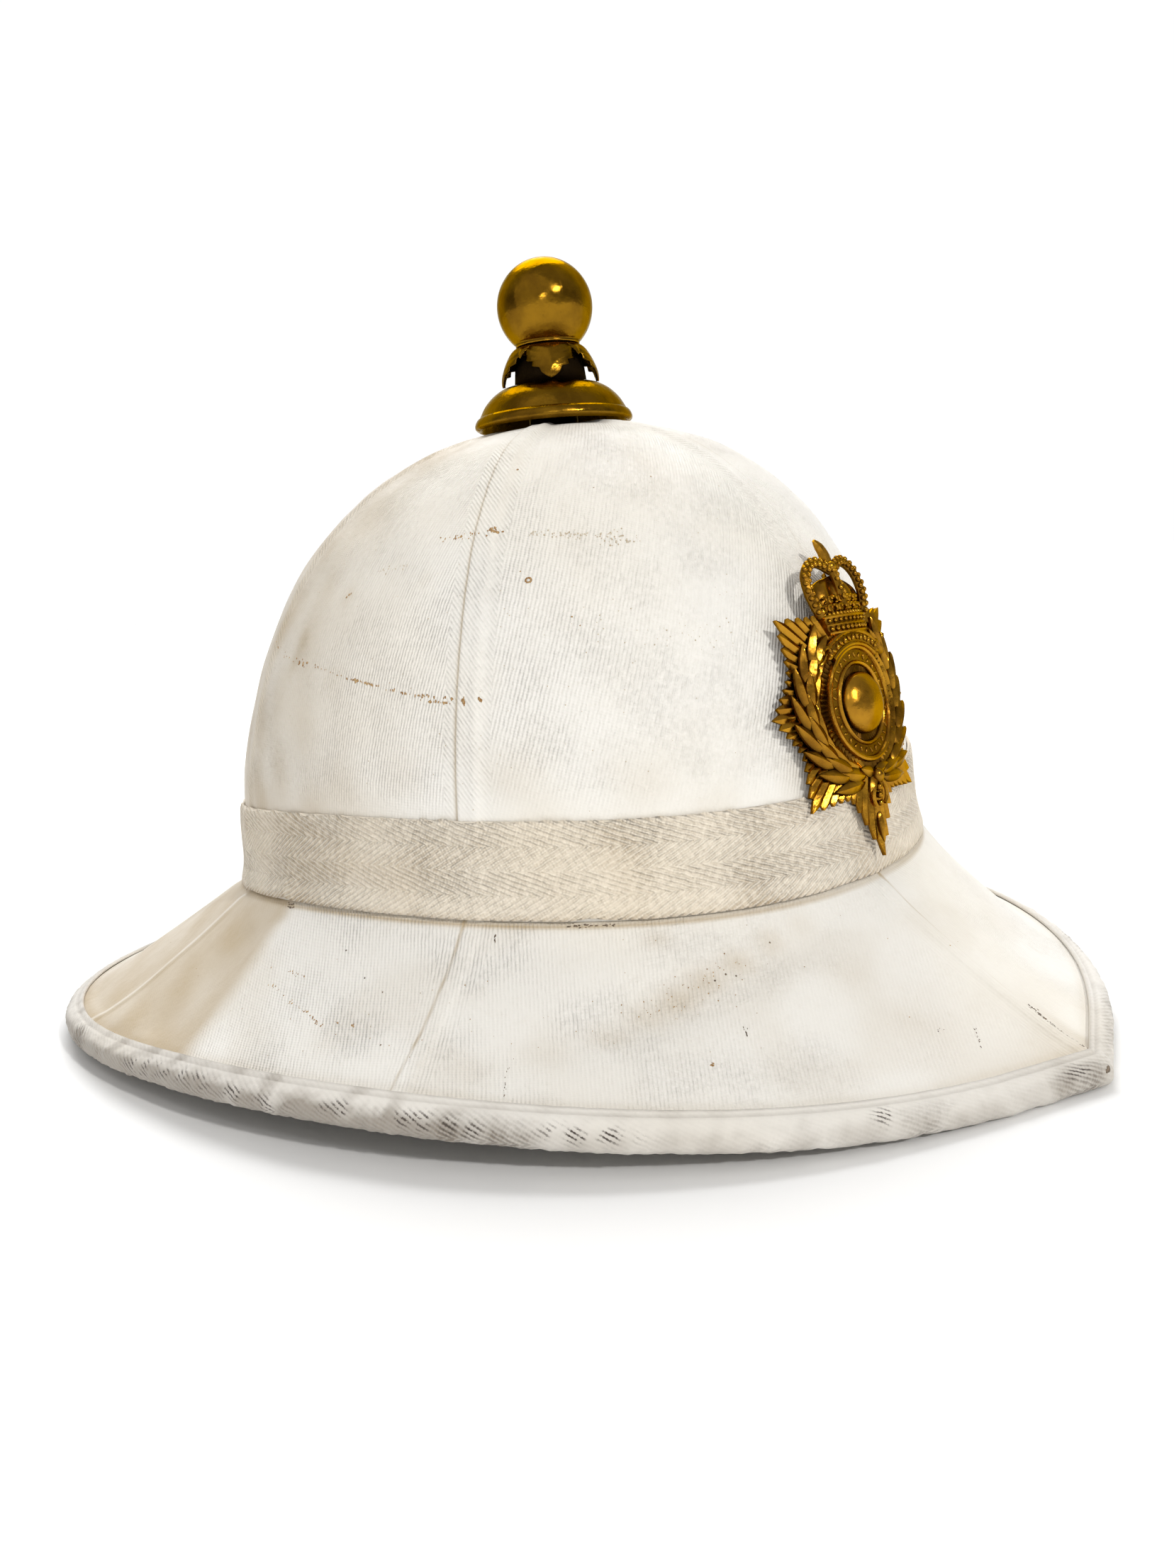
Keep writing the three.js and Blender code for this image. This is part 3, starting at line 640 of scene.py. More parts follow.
def build_crown():
    even_share = 0.18
    rows_low = np.linspace(0, even_share, 8)[:-1]
    rows_high = np.sin(np.linspace(np.arcsin(even_share), np.pi / 2 * 0.992, 84))
    shares = np.concatenate([rows_low, rows_high])
    foot = lambda angle: foot_height(angle) + GAP / 2

    def ring_radius(angle):
        height = foot(angle) + shares * (CROWN_TOP - foot(angle))
        share = (height - ROOT_HEIGHT) / (CROWN_TOP - ROOT_HEIGHT)
        plan = super_radius(angle, HALF_WIDTH, HALF_LENGTH, SQUARENESS)
        return np.maximum(4, dome_taper(share) * plan)

    angles = seam_columns(ring_radius)
    height = foot(angles) + shares[:, None] * (CROWN_TOP - foot(angles))
    outer = crown_point(angles, height)
    radius = np.hypot(outer[..., 0], outer[..., 1])
    along = np.cumsum(np.linalg.norm(np.diff(outer, axis=0), axis=2), 0)
    along = np.concatenate([np.zeros((1, angles.shape[1])), along])
    normal = normals_of(outer)
    offset = seam_offsets(angles, radius)
    relief = SEAM_RISE * seam_profile(offset) * smooth_step(radius, 10, 30)
    free = smooth_step(height - foot(angles), BAND_HEIGHT, BAND_HEIGHT + 12)
    swell = free * (0.30 * ripple(outer, 62, 3) + 0.10 * ripple(outer, 21, 4))
    pucker = np.sin(along * 2 * np.pi / 9 + ripple(outer, 30, 5)) * bump_at(np.abs(offset), 5, 3)
    pucker = free * 0.09 * pucker
    outer = outer + normal * (relief + swell + pucker)[..., None]

    angle_row = angles[0]
    inner_share = np.sin(np.linspace(0, 1, 26)[:-1] * np.pi / 2)
    inner_rise = CROWN_TOP - WALL - foot(angle_row)
    inner = np.array([crown_point(angle_row, foot(angle_row) + s * inner_rise, WALL)
                      for s in inner_share])[::-1]
    grid = np.concatenate([inner, outer])
    rows, columns = grid.shape[:2]
    points = grid.reshape(-1, 3)
    uvs = np.zeros((rows - 1, columns, 4, 2))
    sections = panel_sections(angles, radius, along)
    uvs[len(inner):] = section_uvs(outer, sections).reshape(len(outer) - 1, columns, 4, 2)
    uvs[: len(inner)] = np.stack([angle_row * 100, 0 * angle_row], -1)[:, None]
    faces, uvs = outward_with_uvs(points, grid_faces(rows, columns), uvs)
    inside = np.ones((len(inner), columns))
    rib = np.concatenate([0.3 * inside, 0.25 + 0.75 * free * smooth_step(radius, 25, 60)])
    soil_and_shade = soil_and_shade_of_crown(outer, angles, height)
    # A dark line along each seam's lapped edge: painted shadow of the raised edge.
    shadow_line = bump_at(offset, LAP_EDGE, 0.45) * smooth_step(radius, 20, 40)
    soil_and_shade = np.concatenate([0.2 * inside, np.clip(soil_and_shade + shadow_line, 0, 1)])
    close_poles(points, columns)
    return new_piece("crown_cloth", points, faces, white_cloth, "crown",
                     uvs.reshape(-1, 2), {"rib": rib, "soil_and_shade": soil_and_shade})


def close_poles(points, columns):
    """Draws the first and last rings of a closed body in to a point."""
    points[:columns] = points[:columns].mean(0)
    points[-columns:] = points[-columns:].mean(0)


# Band


def build_band():
    zones = len(BAND_SLOPES)
    rows = np.linspace(0, 1, zones * 6 + 1)
    count = 420
    angle = circle(count)
    foot = foot_height(angle) + GAP * 1.5
    seam = 0.55 * SEAM_RISE * seam_profile(seam_offsets(angle, np.full(count, 110.0)))
    lifted = sum(bump_at(np.degrees(angle), place, width) for place, width in BAND_LIFTS)
    outer = []
    inner = []
    for share in rows:
        height = foot + share * (BAND_HEIGHT - GAP * 2)
        height = height + (1 - share) ** 3 * 0.9 * lifted
        point = crown_point(angle, height)
        away = np.stack([-np.sin(angle), -np.cos(angle), 0 * angle], -1)
        stand = GAP + TAPE + seam + 0.12 * ripple(point, 16, 21) + 0.5 * lifted * (1 - share) ** 2
        edge = 0.35 * (bump_at(share, 0, 0.03) + bump_at(share, 1, 0.03))
        outer.append(point + away * (stand - edge)[:, None])
        inner.append(point + away * (GAP * 0.9 + seam)[:, None])
    outer, inner = np.array(outer), np.array(inner)
    fray = 0.25 * ripple(outer[-1], 5, 22) + 0.15 * ripple(outer[-1], 2.2, 23)
    outer[-1, :, 2] += fray
    grid = np.concatenate([inner[::-1], outer])
    points = grid.reshape(-1, 3)
    girth = np.concatenate([[0], np.cumsum(np.linalg.norm(np.diff(outer[0], axis=0), axis=1))])
    girth = np.append(girth, girth[-1] + np.linalg.norm(outer[0, 0] - outer[0, -1]))
    uvs = np.zeros((len(grid), count, 4, 2))
    for r in range(len(rows) - 1):
        lean = BAND_SLOPES[r * zones // (len(rows) - 1)]
        ends = ((girth[:-1], r), (girth[1:], r), (girth[1:], r + 1), (girth[:-1], r + 1))
        for corner, (along, row) in enumerate(ends):
            uvs[len(inner) + r, :, corner] = sloped(rows[row] * BAND_HEIGHT, along, lean)
    faces, uvs = outward_with_uvs(points, grid_faces(len(grid), count, close_rows=True), uvs)
    share = np.concatenate([rows[::-1], rows])[:, None] + 0 * angle
    zone_of = np.clip((share * zones).astype(int), 0, zones - 1)
    rib = np.array(BAND_DEPTHS)[zone_of] * (0.8 + 0.2 * np.tanh(ripple(grid, 40, 24)))
    soil_and_shade = 0.04 + 0.10 * np.clip(ripple(grid, 30, 25), 0, 1.5) + 0.25 * bump_at(share, 0, 0.05)
    degrees = np.degrees(angle)
    side = smooth_step(degrees, 40, 110) * (1 - smooth_step(degrees, 170, 200))
    soil_and_shade = np.clip(soil_and_shade + 0.05 * side, 0, 1)
    return new_piece("band_tape", points, faces, band_cloth, "hat_band",
                     uvs.reshape(-1, 2), {"rib": rib, "soil_and_shade": soil_and_shade})


BAND_LIFTS = [(101, 1.8), (44.5, 1.8)]
BAND_SLOPES = np.radians([30, -20, 30, -20])
BAND_DEPTHS = [0.8, 1.0, 0.82, 1.0]


# Brim

BRIM_TOP_ROWS = 60
BRIM_LOW_ROWS = 18
BRIM_SEAM_HALF = 1.9
DENT_RADIUS = 130


def brim_section(root_z, width, lift, shares):
    """Distances out and heights of the brim's top and underside, and both heights at its end."""
    underside = lift + TAPE + GAP
    end_out = width - EDGE_ROUND
    end_up = underside + WALL * np.cos(EDGE_SLOPE)
    knee_out = FLARE_REACH * end_out
    knee_up = end_up + (1 - FLARE_REACH) * end_out * np.tan(EDGE_SLOPE)
    u = shares
    out = 2 * u * (1 - u) * knee_out + u * u * end_out
    up = (1 - u) ** 2 * root_z + 2 * u * (1 - u) * knee_up + u * u * end_up
    slope_out = 2 * (1 - u) * knee_out + 2 * u * (end_out - knee_out)
    slope_up = 2 * (1 - u) * (knee_up - root_z) + 2 * u * (end_up - knee_up)
    size = np.hypot(slope_out, slope_up)
    low_out = out + WALL * slope_up / size
    low_up = up - WALL * slope_out / size
    return out, up, low_out, low_up, end_up, underside


def brim_spokes(roots, edges):
    """Root points, their heights, outward directions and widths of the brim at these angles."""
    root_z = foot_height(roots) - GAP / 2
    root = crown_point(roots, root_z)
    reach = edge_reach(edges)
    edge = np.stack([-reach * np.sin(edges), BRIM_BACK - reach * np.cos(edges), 0 * reach], -1)
    out = edge - root
    out[:, 2] = 0
    width = np.linalg.norm(out, axis=1)
    return root, root_z, out / width[:, None], width


def brim_frame():
    """Angles of the brim's columns at root and edge, and the spokes and lifts there."""
    root_radius = lambda angle: super_radius(angle, HALF_WIDTH, HALF_LENGTH, SQUARENESS)
    roots = seam_columns(lambda angle: np.atleast_1d(root_radius(angle)))[0]
    edges = seam_columns(lambda angle: np.atleast_1d(edge_reach(angle)))[0]
    return roots, edges, *brim_spokes(roots, edges), edge_lift(edges)


def strip_offset():
    """Signed distance from its seam of each strip column, and a large distance on the panels."""
    strip = np.linspace(-1, 1, STRIP_STEPS + 1)[:-1] * STRIP_REACH
    panel = np.full(PANEL_STEPS, FAR)
    panel[0] = STRIP_REACH
    return np.concatenate([part for seam in SEAMS for part in (seam_side(seam) * strip, panel)])


BRIM_DENTS = [
    # angle at its root end, share there, angle at its edge end, share there, width, depth
    (13, 0.04, 47, 0.56, 5.5, -1.5),
    (9, 0.16, 40, 0.70, 8.0, 0.8),
    (26, 0.02, 50, 0.36, 7.0, 0.7),
    (101, 0.02, 92, 0.95, 3.6, 1.1),
    (106, 0.05, 104, 0.9, 11.0, -1.7),
    (107, 0.00, 106, 0.16, 4.5, 1.6),
]


def dent_field(angle, share, width):
    """Long soft folds that cross the brim, each along a line in angle and share."""
    field = np.zeros(share.shape)
    flat = lambda turn, part: np.stack([turn * DENT_RADIUS + 0 * width, part * width], -1)
    for root_turn, root_share, edge_turn, edge_share, spread, depth in BRIM_DENTS:
        start = flat(np.radians(root_turn), root_share)
        along = flat(np.radians(edge_turn), edge_share) - start
        length = np.linalg.norm(along, axis=-1)
        unit = along / length[..., None]
        around, outwards = angle * DENT_RADIUS - start[..., 0], share * width - start[..., 1]
        travel = (around * unit[..., 0] + outwards * unit[..., 1]) / length
        across = around * unit[..., 1] - outwards * unit[..., 0]
        ends = smooth_step(travel, -0.15, 0.25) * (1 - smooth_step(travel, 0.75, 1.15))
        field += depth * ends * np.exp(-((across / spread) ** 2))
    return field


def build_brim():
    roots, edges, root, root_z, out, width, lift = brim_frame()
    columns = len(roots)
    shares = np.linspace(0, 1, BRIM_TOP_ROWS)[:, None]
    reach, up, _, _, end_up, underside = brim_section(root_z, width, lift, shares)
    place = lambda distance, height: (root[None] * [1, 1, 0] + out[None] * distance[..., None]
                                      + np.array([0, 0, 1]) * height[..., None])
    angle = roots + (edges - roots) * shares
    offset = strip_offset()[None] + 0 * shares
    lap = smooth_step(offset, -BRIM_SEAM_HALF - 0.5, -BRIM_SEAM_HALF + 0.3)
    lap = lap * (1 - smooth_step(offset, BRIM_SEAM_HALF - 0.2, BRIM_SEAM_HALF + 1.8))
    tape_edge = width - TAPE_REACH
    free = smooth_step(reach, 2, 10) * (1 - smooth_step(reach, tape_edge - 6, tape_edge - 0.5))
    top = place(reach, up)
    fields = dent_field(angle, shares + 0 * angle, width)
    swell = free * (0.35 * ripple(top, 70, 31) + 0.14 * ripple(top, 24, 32) + fields)
    upper = place(reach, up + 0.8 * SEAM_RISE * lap * smooth_step(reach, 1, 4) + swell)
    edge_rows = [place(width[None], (end_up - EDGE_ROUND)[None]),
                 place(width[None], (underside + EDGE_ROUND)[None])]
    low_shares = np.linspace(1, 0, BRIM_LOW_ROWS)[:, None]
    low_out, low_up = brim_section(root_z, width, lift, low_shares)[2:4]
    lower = place(np.maximum(low_out, -WALL + 0.4), low_up)
    inner_top = crown_point(roots, root_z, WALL)[None]
    grid = np.concatenate([inner_top, upper, *edge_rows, lower])
    points = grid.reshape(-1, 3)

    uvs = np.zeros((len(grid), columns, 4, 2))
    sections = []
    away = np.hypot(upper[..., 0], upper[..., 1])
    for n, seam in enumerate(SEAMS):
        strip, panel, _ = section_columns(n, columns)
        for chosen, turn in ((strip, seam), (panel, BRIM_RIBS[n])):
            point = upper[:, chosen]
            across = -point[..., 0] * np.cos(turn) + point[..., 1] * np.sin(turn)
            sections.append((chosen[0], np.stack([across, away[:, chosen] * 1.25], -1)))
    uvs[1 : len(upper)] = section_uvs(upper, sections).reshape(len(upper) - 1, columns, 4, 2)
    rest = np.stack([np.arange(columns) * 2.0, np.zeros(columns)], -1)
    uvs[0] = rest[:, None]
    uvs[len(upper):] = rest[None, :, None]
    faces, uvs = outward_with_uvs(points, grid_faces(len(grid), columns, close_rows=True), uvs)

    degrees = np.degrees(np.arctan2(np.sin(angle), np.cos(angle)))
    # From a line at about 100 degrees back towards the rear the brim is darker and its ribs fainter:
    # painted shade of the side turned from the light, with soiling on it.
    shadow_line = 100 - 8 * shares
    rear_shade_and_soil = smooth_step(degrees, shadow_line - 2.5, shadow_line + 2.5)
    rear_shade_and_soil = rear_shade_and_soil * (1 - smooth_step(degrees, 128, 174))
    rough = 0.5 + 0.5 * ripple(top, 20, 33)
    soil_and_shade = 0.02 + 1.08 * rear_shade_and_soil * (0.89 + 0.11 * rough)
    soil_and_shade += 0.10 * np.clip(ripple(top, 34, 34), 0, 1.4)
    # The strong dark line at the root, under the band, is painted shade.
    soil_and_shade += 0.20 * bump_at(reach, tape_edge - 1, 1.5) + 1.1 * bump_at(reach, 0.6, 0.55)
    # A dark line along each seam's lapped edge: painted shadow of the edge, broken up along its
    # length and faded on the shaded rear side.
    broken_seam_shadow = 0.75 + 0.35 * np.clip(ripple(top, 9, 36), -1, 1)
    seam_shadow = 1.1 * broken_seam_shadow * bump_at(offset, -BRIM_SEAM_HALF - 0.4, 0.5)
    soil_and_shade += seam_shadow * (1 - 0.85 * rear_shade_and_soil)
    # A pale line along the seams on the shaded rear side: painted highlight on their ridges.
    soil_and_shade -= 0.55 * rear_shade_and_soil * bump_at(offset, 0.2, 1.1)
    for turn, share, spread, amount in BRIM_STAINS:
        around = (angle - np.radians(turn)) * 140 / spread
        outwards = (shares - share) * 100 / spread
        soil_and_shade += amount * np.exp(-(around**2 + outwards**2))
    rib = (1 - 0.85 * rear_shade_and_soil) * (0.74 + 0.26 * np.tanh(1.6 * ripple(top, 28, 35)))
    rib = rib * (1 + 0.35 * smooth_step(degrees, 52, 72))
    rib = rib * (0.4 + 0.6 * smooth_step(np.abs(degrees), 5, 30))
    rest_rows = len(grid) - len(upper) - 1
    fill = lambda value, rows: np.full((rows, columns), value)
    soil_and_shade = np.concatenate([fill(0.2, 1), np.clip(soil_and_shade, 0, 1.25), fill(0.15, rest_rows)])
    rib = np.concatenate([fill(0.2, 1), rib, fill(0.3, rest_rows)])
    return new_piece("brim_cloth", points, faces, white_cloth, "brim",
                     uvs.reshape(-1, 2), {"rib": rib, "soil_and_shade": soil_and_shade})


BRIM_RIBS = np.radians([46, 50, 150, -150, -50, -46])
BRIM_STAINS = [
    # angle, share out from the crown, size and strength of each soft stain
    (42, 0.50, 6, 0.30), (38, 0.40, 6, 0.40), (34.5, 0.33, 5.5, 0.52), (31, 0.265, 5, 0.50),
    (27, 0.20, 5, 0.48), (22, 0.13, 5, 0.42), (17, 0.09, 5, 0.25), (48, 0.60, 8, 0.16),
    (36, 0.08, 4, 0.32), (54, 0.72, 8, 0.12), (14, 0.34, 9, 0.14), (20, 0.75, 8, 0.10),
    # (4, 0.92) and (-8, 0.85) are wide and darken the whole tip: painted shade.
    (58, 0.35, 6, 0.08), (4, 0.92, 16, 0.36), (99, 0.06, 5, 0.36), (-8, 0.85, 16, 0.34),
    (10, 0.55, 14, 0.16),
]


# Binding of the edge


def offset_path(path, distance):
    """Moves open paths of (out, up) points outwards, with mitred corners: columns x points x 2."""
    step = np.diff(path, axis=1)
    size = np.linalg.norm(step, axis=2, keepdims=True)
    normal = np.stack([-step[..., 1], step[..., 0]], -1) / size
    before = np.concatenate([normal[:, :1], normal], 1)
    after = np.concatenate([normal, normal[:, -1:]], 1)
    mitre = 1 + (before * after).sum(2, keepdims=True)
    return path + distance * (before + after) / mitre


def rounded(path, rounds):
    """Cuts the corners of open paths, again and again."""
    for _ in range(rounds):
        a, b = path[:, :-1], path[:, 1:]
        cut = np.stack([0.75 * a + 0.25 * b, 0.25 * a + 0.75 * b], 2).reshape(len(path), -1, 2)
        path = np.concatenate([path[:, :1], cut, path[:, -1:]], 1)
    return path


def resampled(path, count):
    """Evenly spaced points along open paths."""
    step = np.linalg.norm(np.diff(path, axis=1), axis=2)
    travel = np.concatenate([np.zeros((len(path), 1)), np.cumsum(step, 1)], 1)
    out = np.zeros((len(path), count, 2))
    for i in range(len(path)):
        at = np.linspace(0, travel[i, -1], count)
        out[i, :, 0] = np.interp(at, travel[i], path[i, :, 0])
        out[i, :, 1] = np.interp(at, travel[i], path[i, :, 1])
    return out


def dense_columns(values, factor):
    """Values of closed columns, with more columns put between them."""
    count = len(values)
    at = np.arange(count * factor) / factor
    low = at.astype(int)
    part = (at - low).reshape(-1, *([1] * (values.ndim - 1)))
    return values[low] * (1 - part) + values[(low + 1) % count] * part


def binding_paths():
    """Outer and inner points of the tape round the edge: rows across it x columns x 3."""
    root, root_z, out, width, lift = brim_frame()[2:]
    bend = 1 - 2 * FLARE_REACH
    outward_share = 1 - (TAPE_REACH - EDGE_ROUND) / (width - EDGE_ROUND)
    inner_share = (np.sqrt(FLARE_REACH**2 + bend * outward_share) - FLARE_REACH) / bend
    shares = np.stack([inner_share, (inner_share + 1) / 2, np.ones_like(inner_share)])
    reach, up, low_out, low_up, end_up, underside = brim_section(root_z, width, lift, shares)
    upper = np.stack([reach, up], -1).transpose(1, 0, 2)
    lower = np.stack([low_out, low_up], -1).transpose(1, 0, 2)
    corner = lambda x, y: np.stack([x, y], -1)[:, None]
    path = np.concatenate([
        upper,
        corner(width, end_up - EDGE_ROUND),
        corner(width, underside + EDGE_ROUND),
        corner(width - EDGE_ROUND, underside),
        lower[:, ::-1][:, 1:],
    ], 1)
    base = dense_columns(root, EDGE_FACTOR) * [1, 1, 0]
    away = dense_columns(out, EDGE_FACTOR)
    away /= np.linalg.norm(away, axis=1, keepdims=True)
    grids = []
    for flat in (resampled(rounded(offset_path(path, GAP + TAPE), 3), 25),
                 resampled(offset_path(path, GAP), 10)):
        flat = dense_columns(flat, EDGE_FACTOR)
        points = base[:, None] + away[:, None] * flat[..., :1] + np.array([0, 0, 1]) * flat[..., 1:]
        grids.append(points.transpose(1, 0, 2))
    return grids


def edge_soil_and_shade(grid, rows, turn, worn, middle):
    """Soiling and painted shade of the tape: both in its groove, at its edges and along the side in
    shade, and painted shade with soiling on its rolled underside.
    """
    dirty = 0.34 + 0.66 * smooth_step(turn, 50, 66) * (1 - smooth_step(turn, 118, 150))
    soil_and_shade = 0.05 + 0.12 * worn + 0.34 * bump_at(rows, GROOVE, 0.02) + 0.30 * bump_at(rows, 0.0, 0.02)
    fine = 0.16 * np.clip(ripple(grid, 9, 47), 0, 2)
    fine = fine + 0.12 * np.clip(ripple(grid, 4, 48), 0, 2) * middle
    # The rolled underside is darkened: painted shade, with soiling on it.
    rolled = smooth_step(rows, 0.18, 0.46)
    soil_and_shade = soil_and_shade + dirty * (1.3 * fine + rolled * (0.95 + 0.35 * ripple(grid, 14, 49)))
    soil_and_shade = soil_and_shade + 0.26 * bump_at(turn, 0, 10) * (1 - rolled)
    # Along the side in shade: soiling and painted shade.
    side = smooth_step(turn, 60, 95) * (1 - smooth_step(turn, 140, 175))
    return np.clip(soil_and_shade + 0.34 * side * (0.7 + 0.3 * rolled), 0, 1)


def build_binding():
    grid_out, grid_in = binding_paths()
    normal = -normals_of(grid_out)
    rows = np.arange(len(grid_out))[:, None] / (len(grid_out) - 1)
    steps = np.linalg.norm(np.diff(grid_out[GIRTH_ROW], axis=0), axis=1)
    length = np.concatenate([[0], np.cumsum(steps)])
    groove = -0.45 * bump_at(rows, GROOVE, 0.022)
    groove = groove + 0.24 * bump_at(rows, 0.02, 0.02) + 0.34 * bump_at(rows, 0.13, 0.03)
    crinkle = 0.09 * ripple(grid_out, 5.5, 41) + 0.07 * ripple(grid_out, 2.6, 42)
    folds = 0.09 * np.sin(length * 2 * np.pi / 6.4 + rows * 9 + 1.3 * ripple(grid_out, 30, 43))
    folds = folds * smooth_step(ripple(grid_out, 55, 44), -0.4, 1.0)
    middle = smooth_step(rows, 0.1, 0.25) * (1 - smooth_step(rows, 0.62, 0.8))
    wander = 0.10 * ripple(grid_out, 40, 45) * middle
    rise = groove + (crinkle + folds) * (0.35 + 0.65 * middle) + wander - 0.12
    grid_out = grid_out + normal * rise[..., None]
    grid_out[..., 2] = np.maximum(grid_out[..., 2], 0.0)
    grid = np.concatenate([grid_out, grid_in[::-1]])
    count = grid.shape[1]
    points = grid.reshape(-1, 3)
    lengths = np.append(length, length[-1] + 1)
    uvs = np.zeros((len(grid), count, 4, 2))
    for r in range(len(grid_out) - 1):
        slope = EDGE_SLANT if r < len(grid_out) // 2 else -EDGE_SLANT
        ends = ((lengths[:-1], r), (lengths[1:], r), (lengths[1:], r + 1), (lengths[:-1], r + 1))
        for corner, (along, row) in enumerate(ends):
            uvs[r, :, corner] = sloped(along, row * 0.9, slope)
    faces, uvs = outward_with_uvs(points, grid_faces(len(grid), count, close_rows=True), uvs)
    worn = np.clip(ripple(grid_out, 42, 46), 0, 2) * middle
    turn = np.degrees(np.arctan2(-grid_out[..., 0], -grid_out[..., 1]))
    bare = 0 * turn
    for middle_turn, spread, level in EDGE_WEAR:
        bare += np.exp(-(((turn - middle_turn) / spread) ** 2) - ((rows - level) / 0.085) ** 2)
    bare = 2.2 * (bare * np.clip(0.6 + 0.9 * ripple(grid_out, 6, 50), 0, 1))
    hidden = np.ones((len(grid_in), count))
    values = {
        "rib": np.concatenate([0.25 + 0.75 * smooth_step(worn, 0.1, 0.9), 0.2 * hidden]),
        "soil_and_shade": np.concatenate([edge_soil_and_shade(grid_out, rows, turn, worn, middle), 0.2 * hidden]),
        "bare": np.concatenate([np.clip(bare, 0, 1), 0 * hidden]),
    }
    return new_piece("edge_tape", points, faces, edge_cloth, "brim_binding",
                     uvs.reshape(-1, 2), values)


EDGE_FACTOR = 3
EDGE_SLANT = np.radians(62)
GROOVE = 0.075
GIRTH_ROW = 8
EDGE_WEAR = [
    # angle, spread and place across the tape of each stretch with bare threads
    (98, 4.5, 0.30), (92, 3, 0.32), (86, 2.5, 0.36), (80, 2.2, 0.42), (104, 3, 0.38),
    (71, 1.8, 0.32), (62, 3, 0.34), (58, 2, 0.38), (47, 3.2, 0.34), (22, 0.8, 0.26),
    (3, 1.2, 0.28), (150, 9, 0.36), (-75, 6, 0.36), (-150, 8, 0.36),
]


# Brass top


def turned(profile, steps, centre):
    """Turns an open profile of (radius, height) about a vertical line; its ends lie on the line."""
    points = revolved(profile, steps).reshape(-1, 3) + centre
    return points, outward(points - centre, grid_faces(len(profile), steps))


TOP = np.array([-LEAN_RIGHT, -LEAN_FORWARD + BASE_SHIFT, CROWN_TOP + SEAT_GAP])


def build_top():
    """The base, the post inside the leaves, the leaf collar and the ball."""
    base_steps, ball_steps = 128, 96
    dome = curve_through([
        (12.4, BASE_HEIGHT - 0.1), (15.6, 12.9), (19.2, 10.9), (22.2, 7.9), (24.2, 4.5),
    ], 8)
    lip = curve_through([(24.3, 4.3), (25.3, 3.5), (26.0, 2.1), (25.9, 0.9), (24.9, 0.15)], 6)
    inside = [
        (24.2, 0.4), (23.6, 2.5), (21.4, 6.3), (18.4, 9.3), (12.6, BASE_HEIGHT - 1.3),
        (STEM_RADIUS, BASE_HEIGHT - 1.3), (STEM_RADIUS, 0.0), (0, 0.0),
    ]
    seat = [(0, BASE_HEIGHT - 0.9), (11.6, BASE_HEIGHT - 0.9), (11.9, BASE_HEIGHT - 0.2)]
    profile = np.vstack([seat, dome, lip, inside])
    points, faces = turned(profile, base_steps, TOP)
    last = len(profile) - 1
    recess = np.interp(np.arange(len(profile)), [0, 2, 3, last - 8, last], [1, 1, 0.05, 0.2, 1])
    recess[np.abs(profile[:, 1] - 4.3) < 0.15] = 0.5
    new_piece("top_base_brass", points, faces, brass, "top_base",
              values={"recess": np.repeat(recess, base_steps)})

    level = BASE_HEIGHT + GAP
    stem = [
        (0, 0), (STEM_RADIUS + 3.9, 0), (STEM_RADIUS + 3.4, 5), (STEM_RADIUS + 1.8, 9),
        (STEM_RADIUS, 10.5), (STEM_RADIUS, COLLAR_HEIGHT), (0, COLLAR_HEIGHT),
    ]
    # The post is near-black all over: painted shade inside the collar.
    points, faces = turned(stem, 64, TOP + [0, 0, level])
    new_piece("stem_brass", points, faces, shadow_dark_brass, "collar_stem",
              values={"recess": np.full(len(points), 0.9)})

    drop = np.sqrt(BALL_RADIUS**2 - BALL_SEAT_RADIUS**2)
    centre = TOP + [0, 0, level + COLLAR_HEIGHT + GAP + BALL_SEAT_HEIGHT + drop]
    turn = np.linspace(np.pi - np.arctan2(BALL_SEAT_RADIUS, drop), 0, 60)
    ball = np.stack([BALL_RADIUS * np.sin(turn), BALL_RADIUS * np.cos(turn)], 1)
    neck = [
        (0, -drop - 0.4), (10.2, -drop - 0.4), (10.5, -drop - 0.1), (10.5, -drop + 0.35),
        (10.35, -drop + 0.5),
    ]
    profile = np.vstack([neck, ball[2:]])
    points, faces = turned(profile, ball_steps, centre)
    recess = np.repeat(np.where(np.arange(len(profile)) == 4, 0.75, 0.0), ball_steps)
    new_piece("ball_brass", points, faces, brass, "top_ball", values={"recess": recess})
    build_leaf_collar(level)


LEAF_HALF = np.radians(44)
LEAFLET_DROP = 0.36
LEAFLET_WIDTH = 0.24
LEAF_LOBES = [
    # share of the fall and share of the width, with three lobes down each side
    (0.0, 0.98), (0.16, 1.02), (0.29, 0.96), (0.31, 0.78), (0.48, 0.78), (0.50, 0.52),
    (0.66, 0.54), (0.68, 0.33), (0.84, 0.25), (0.94, 0.13), (1.0, 0.0),
]


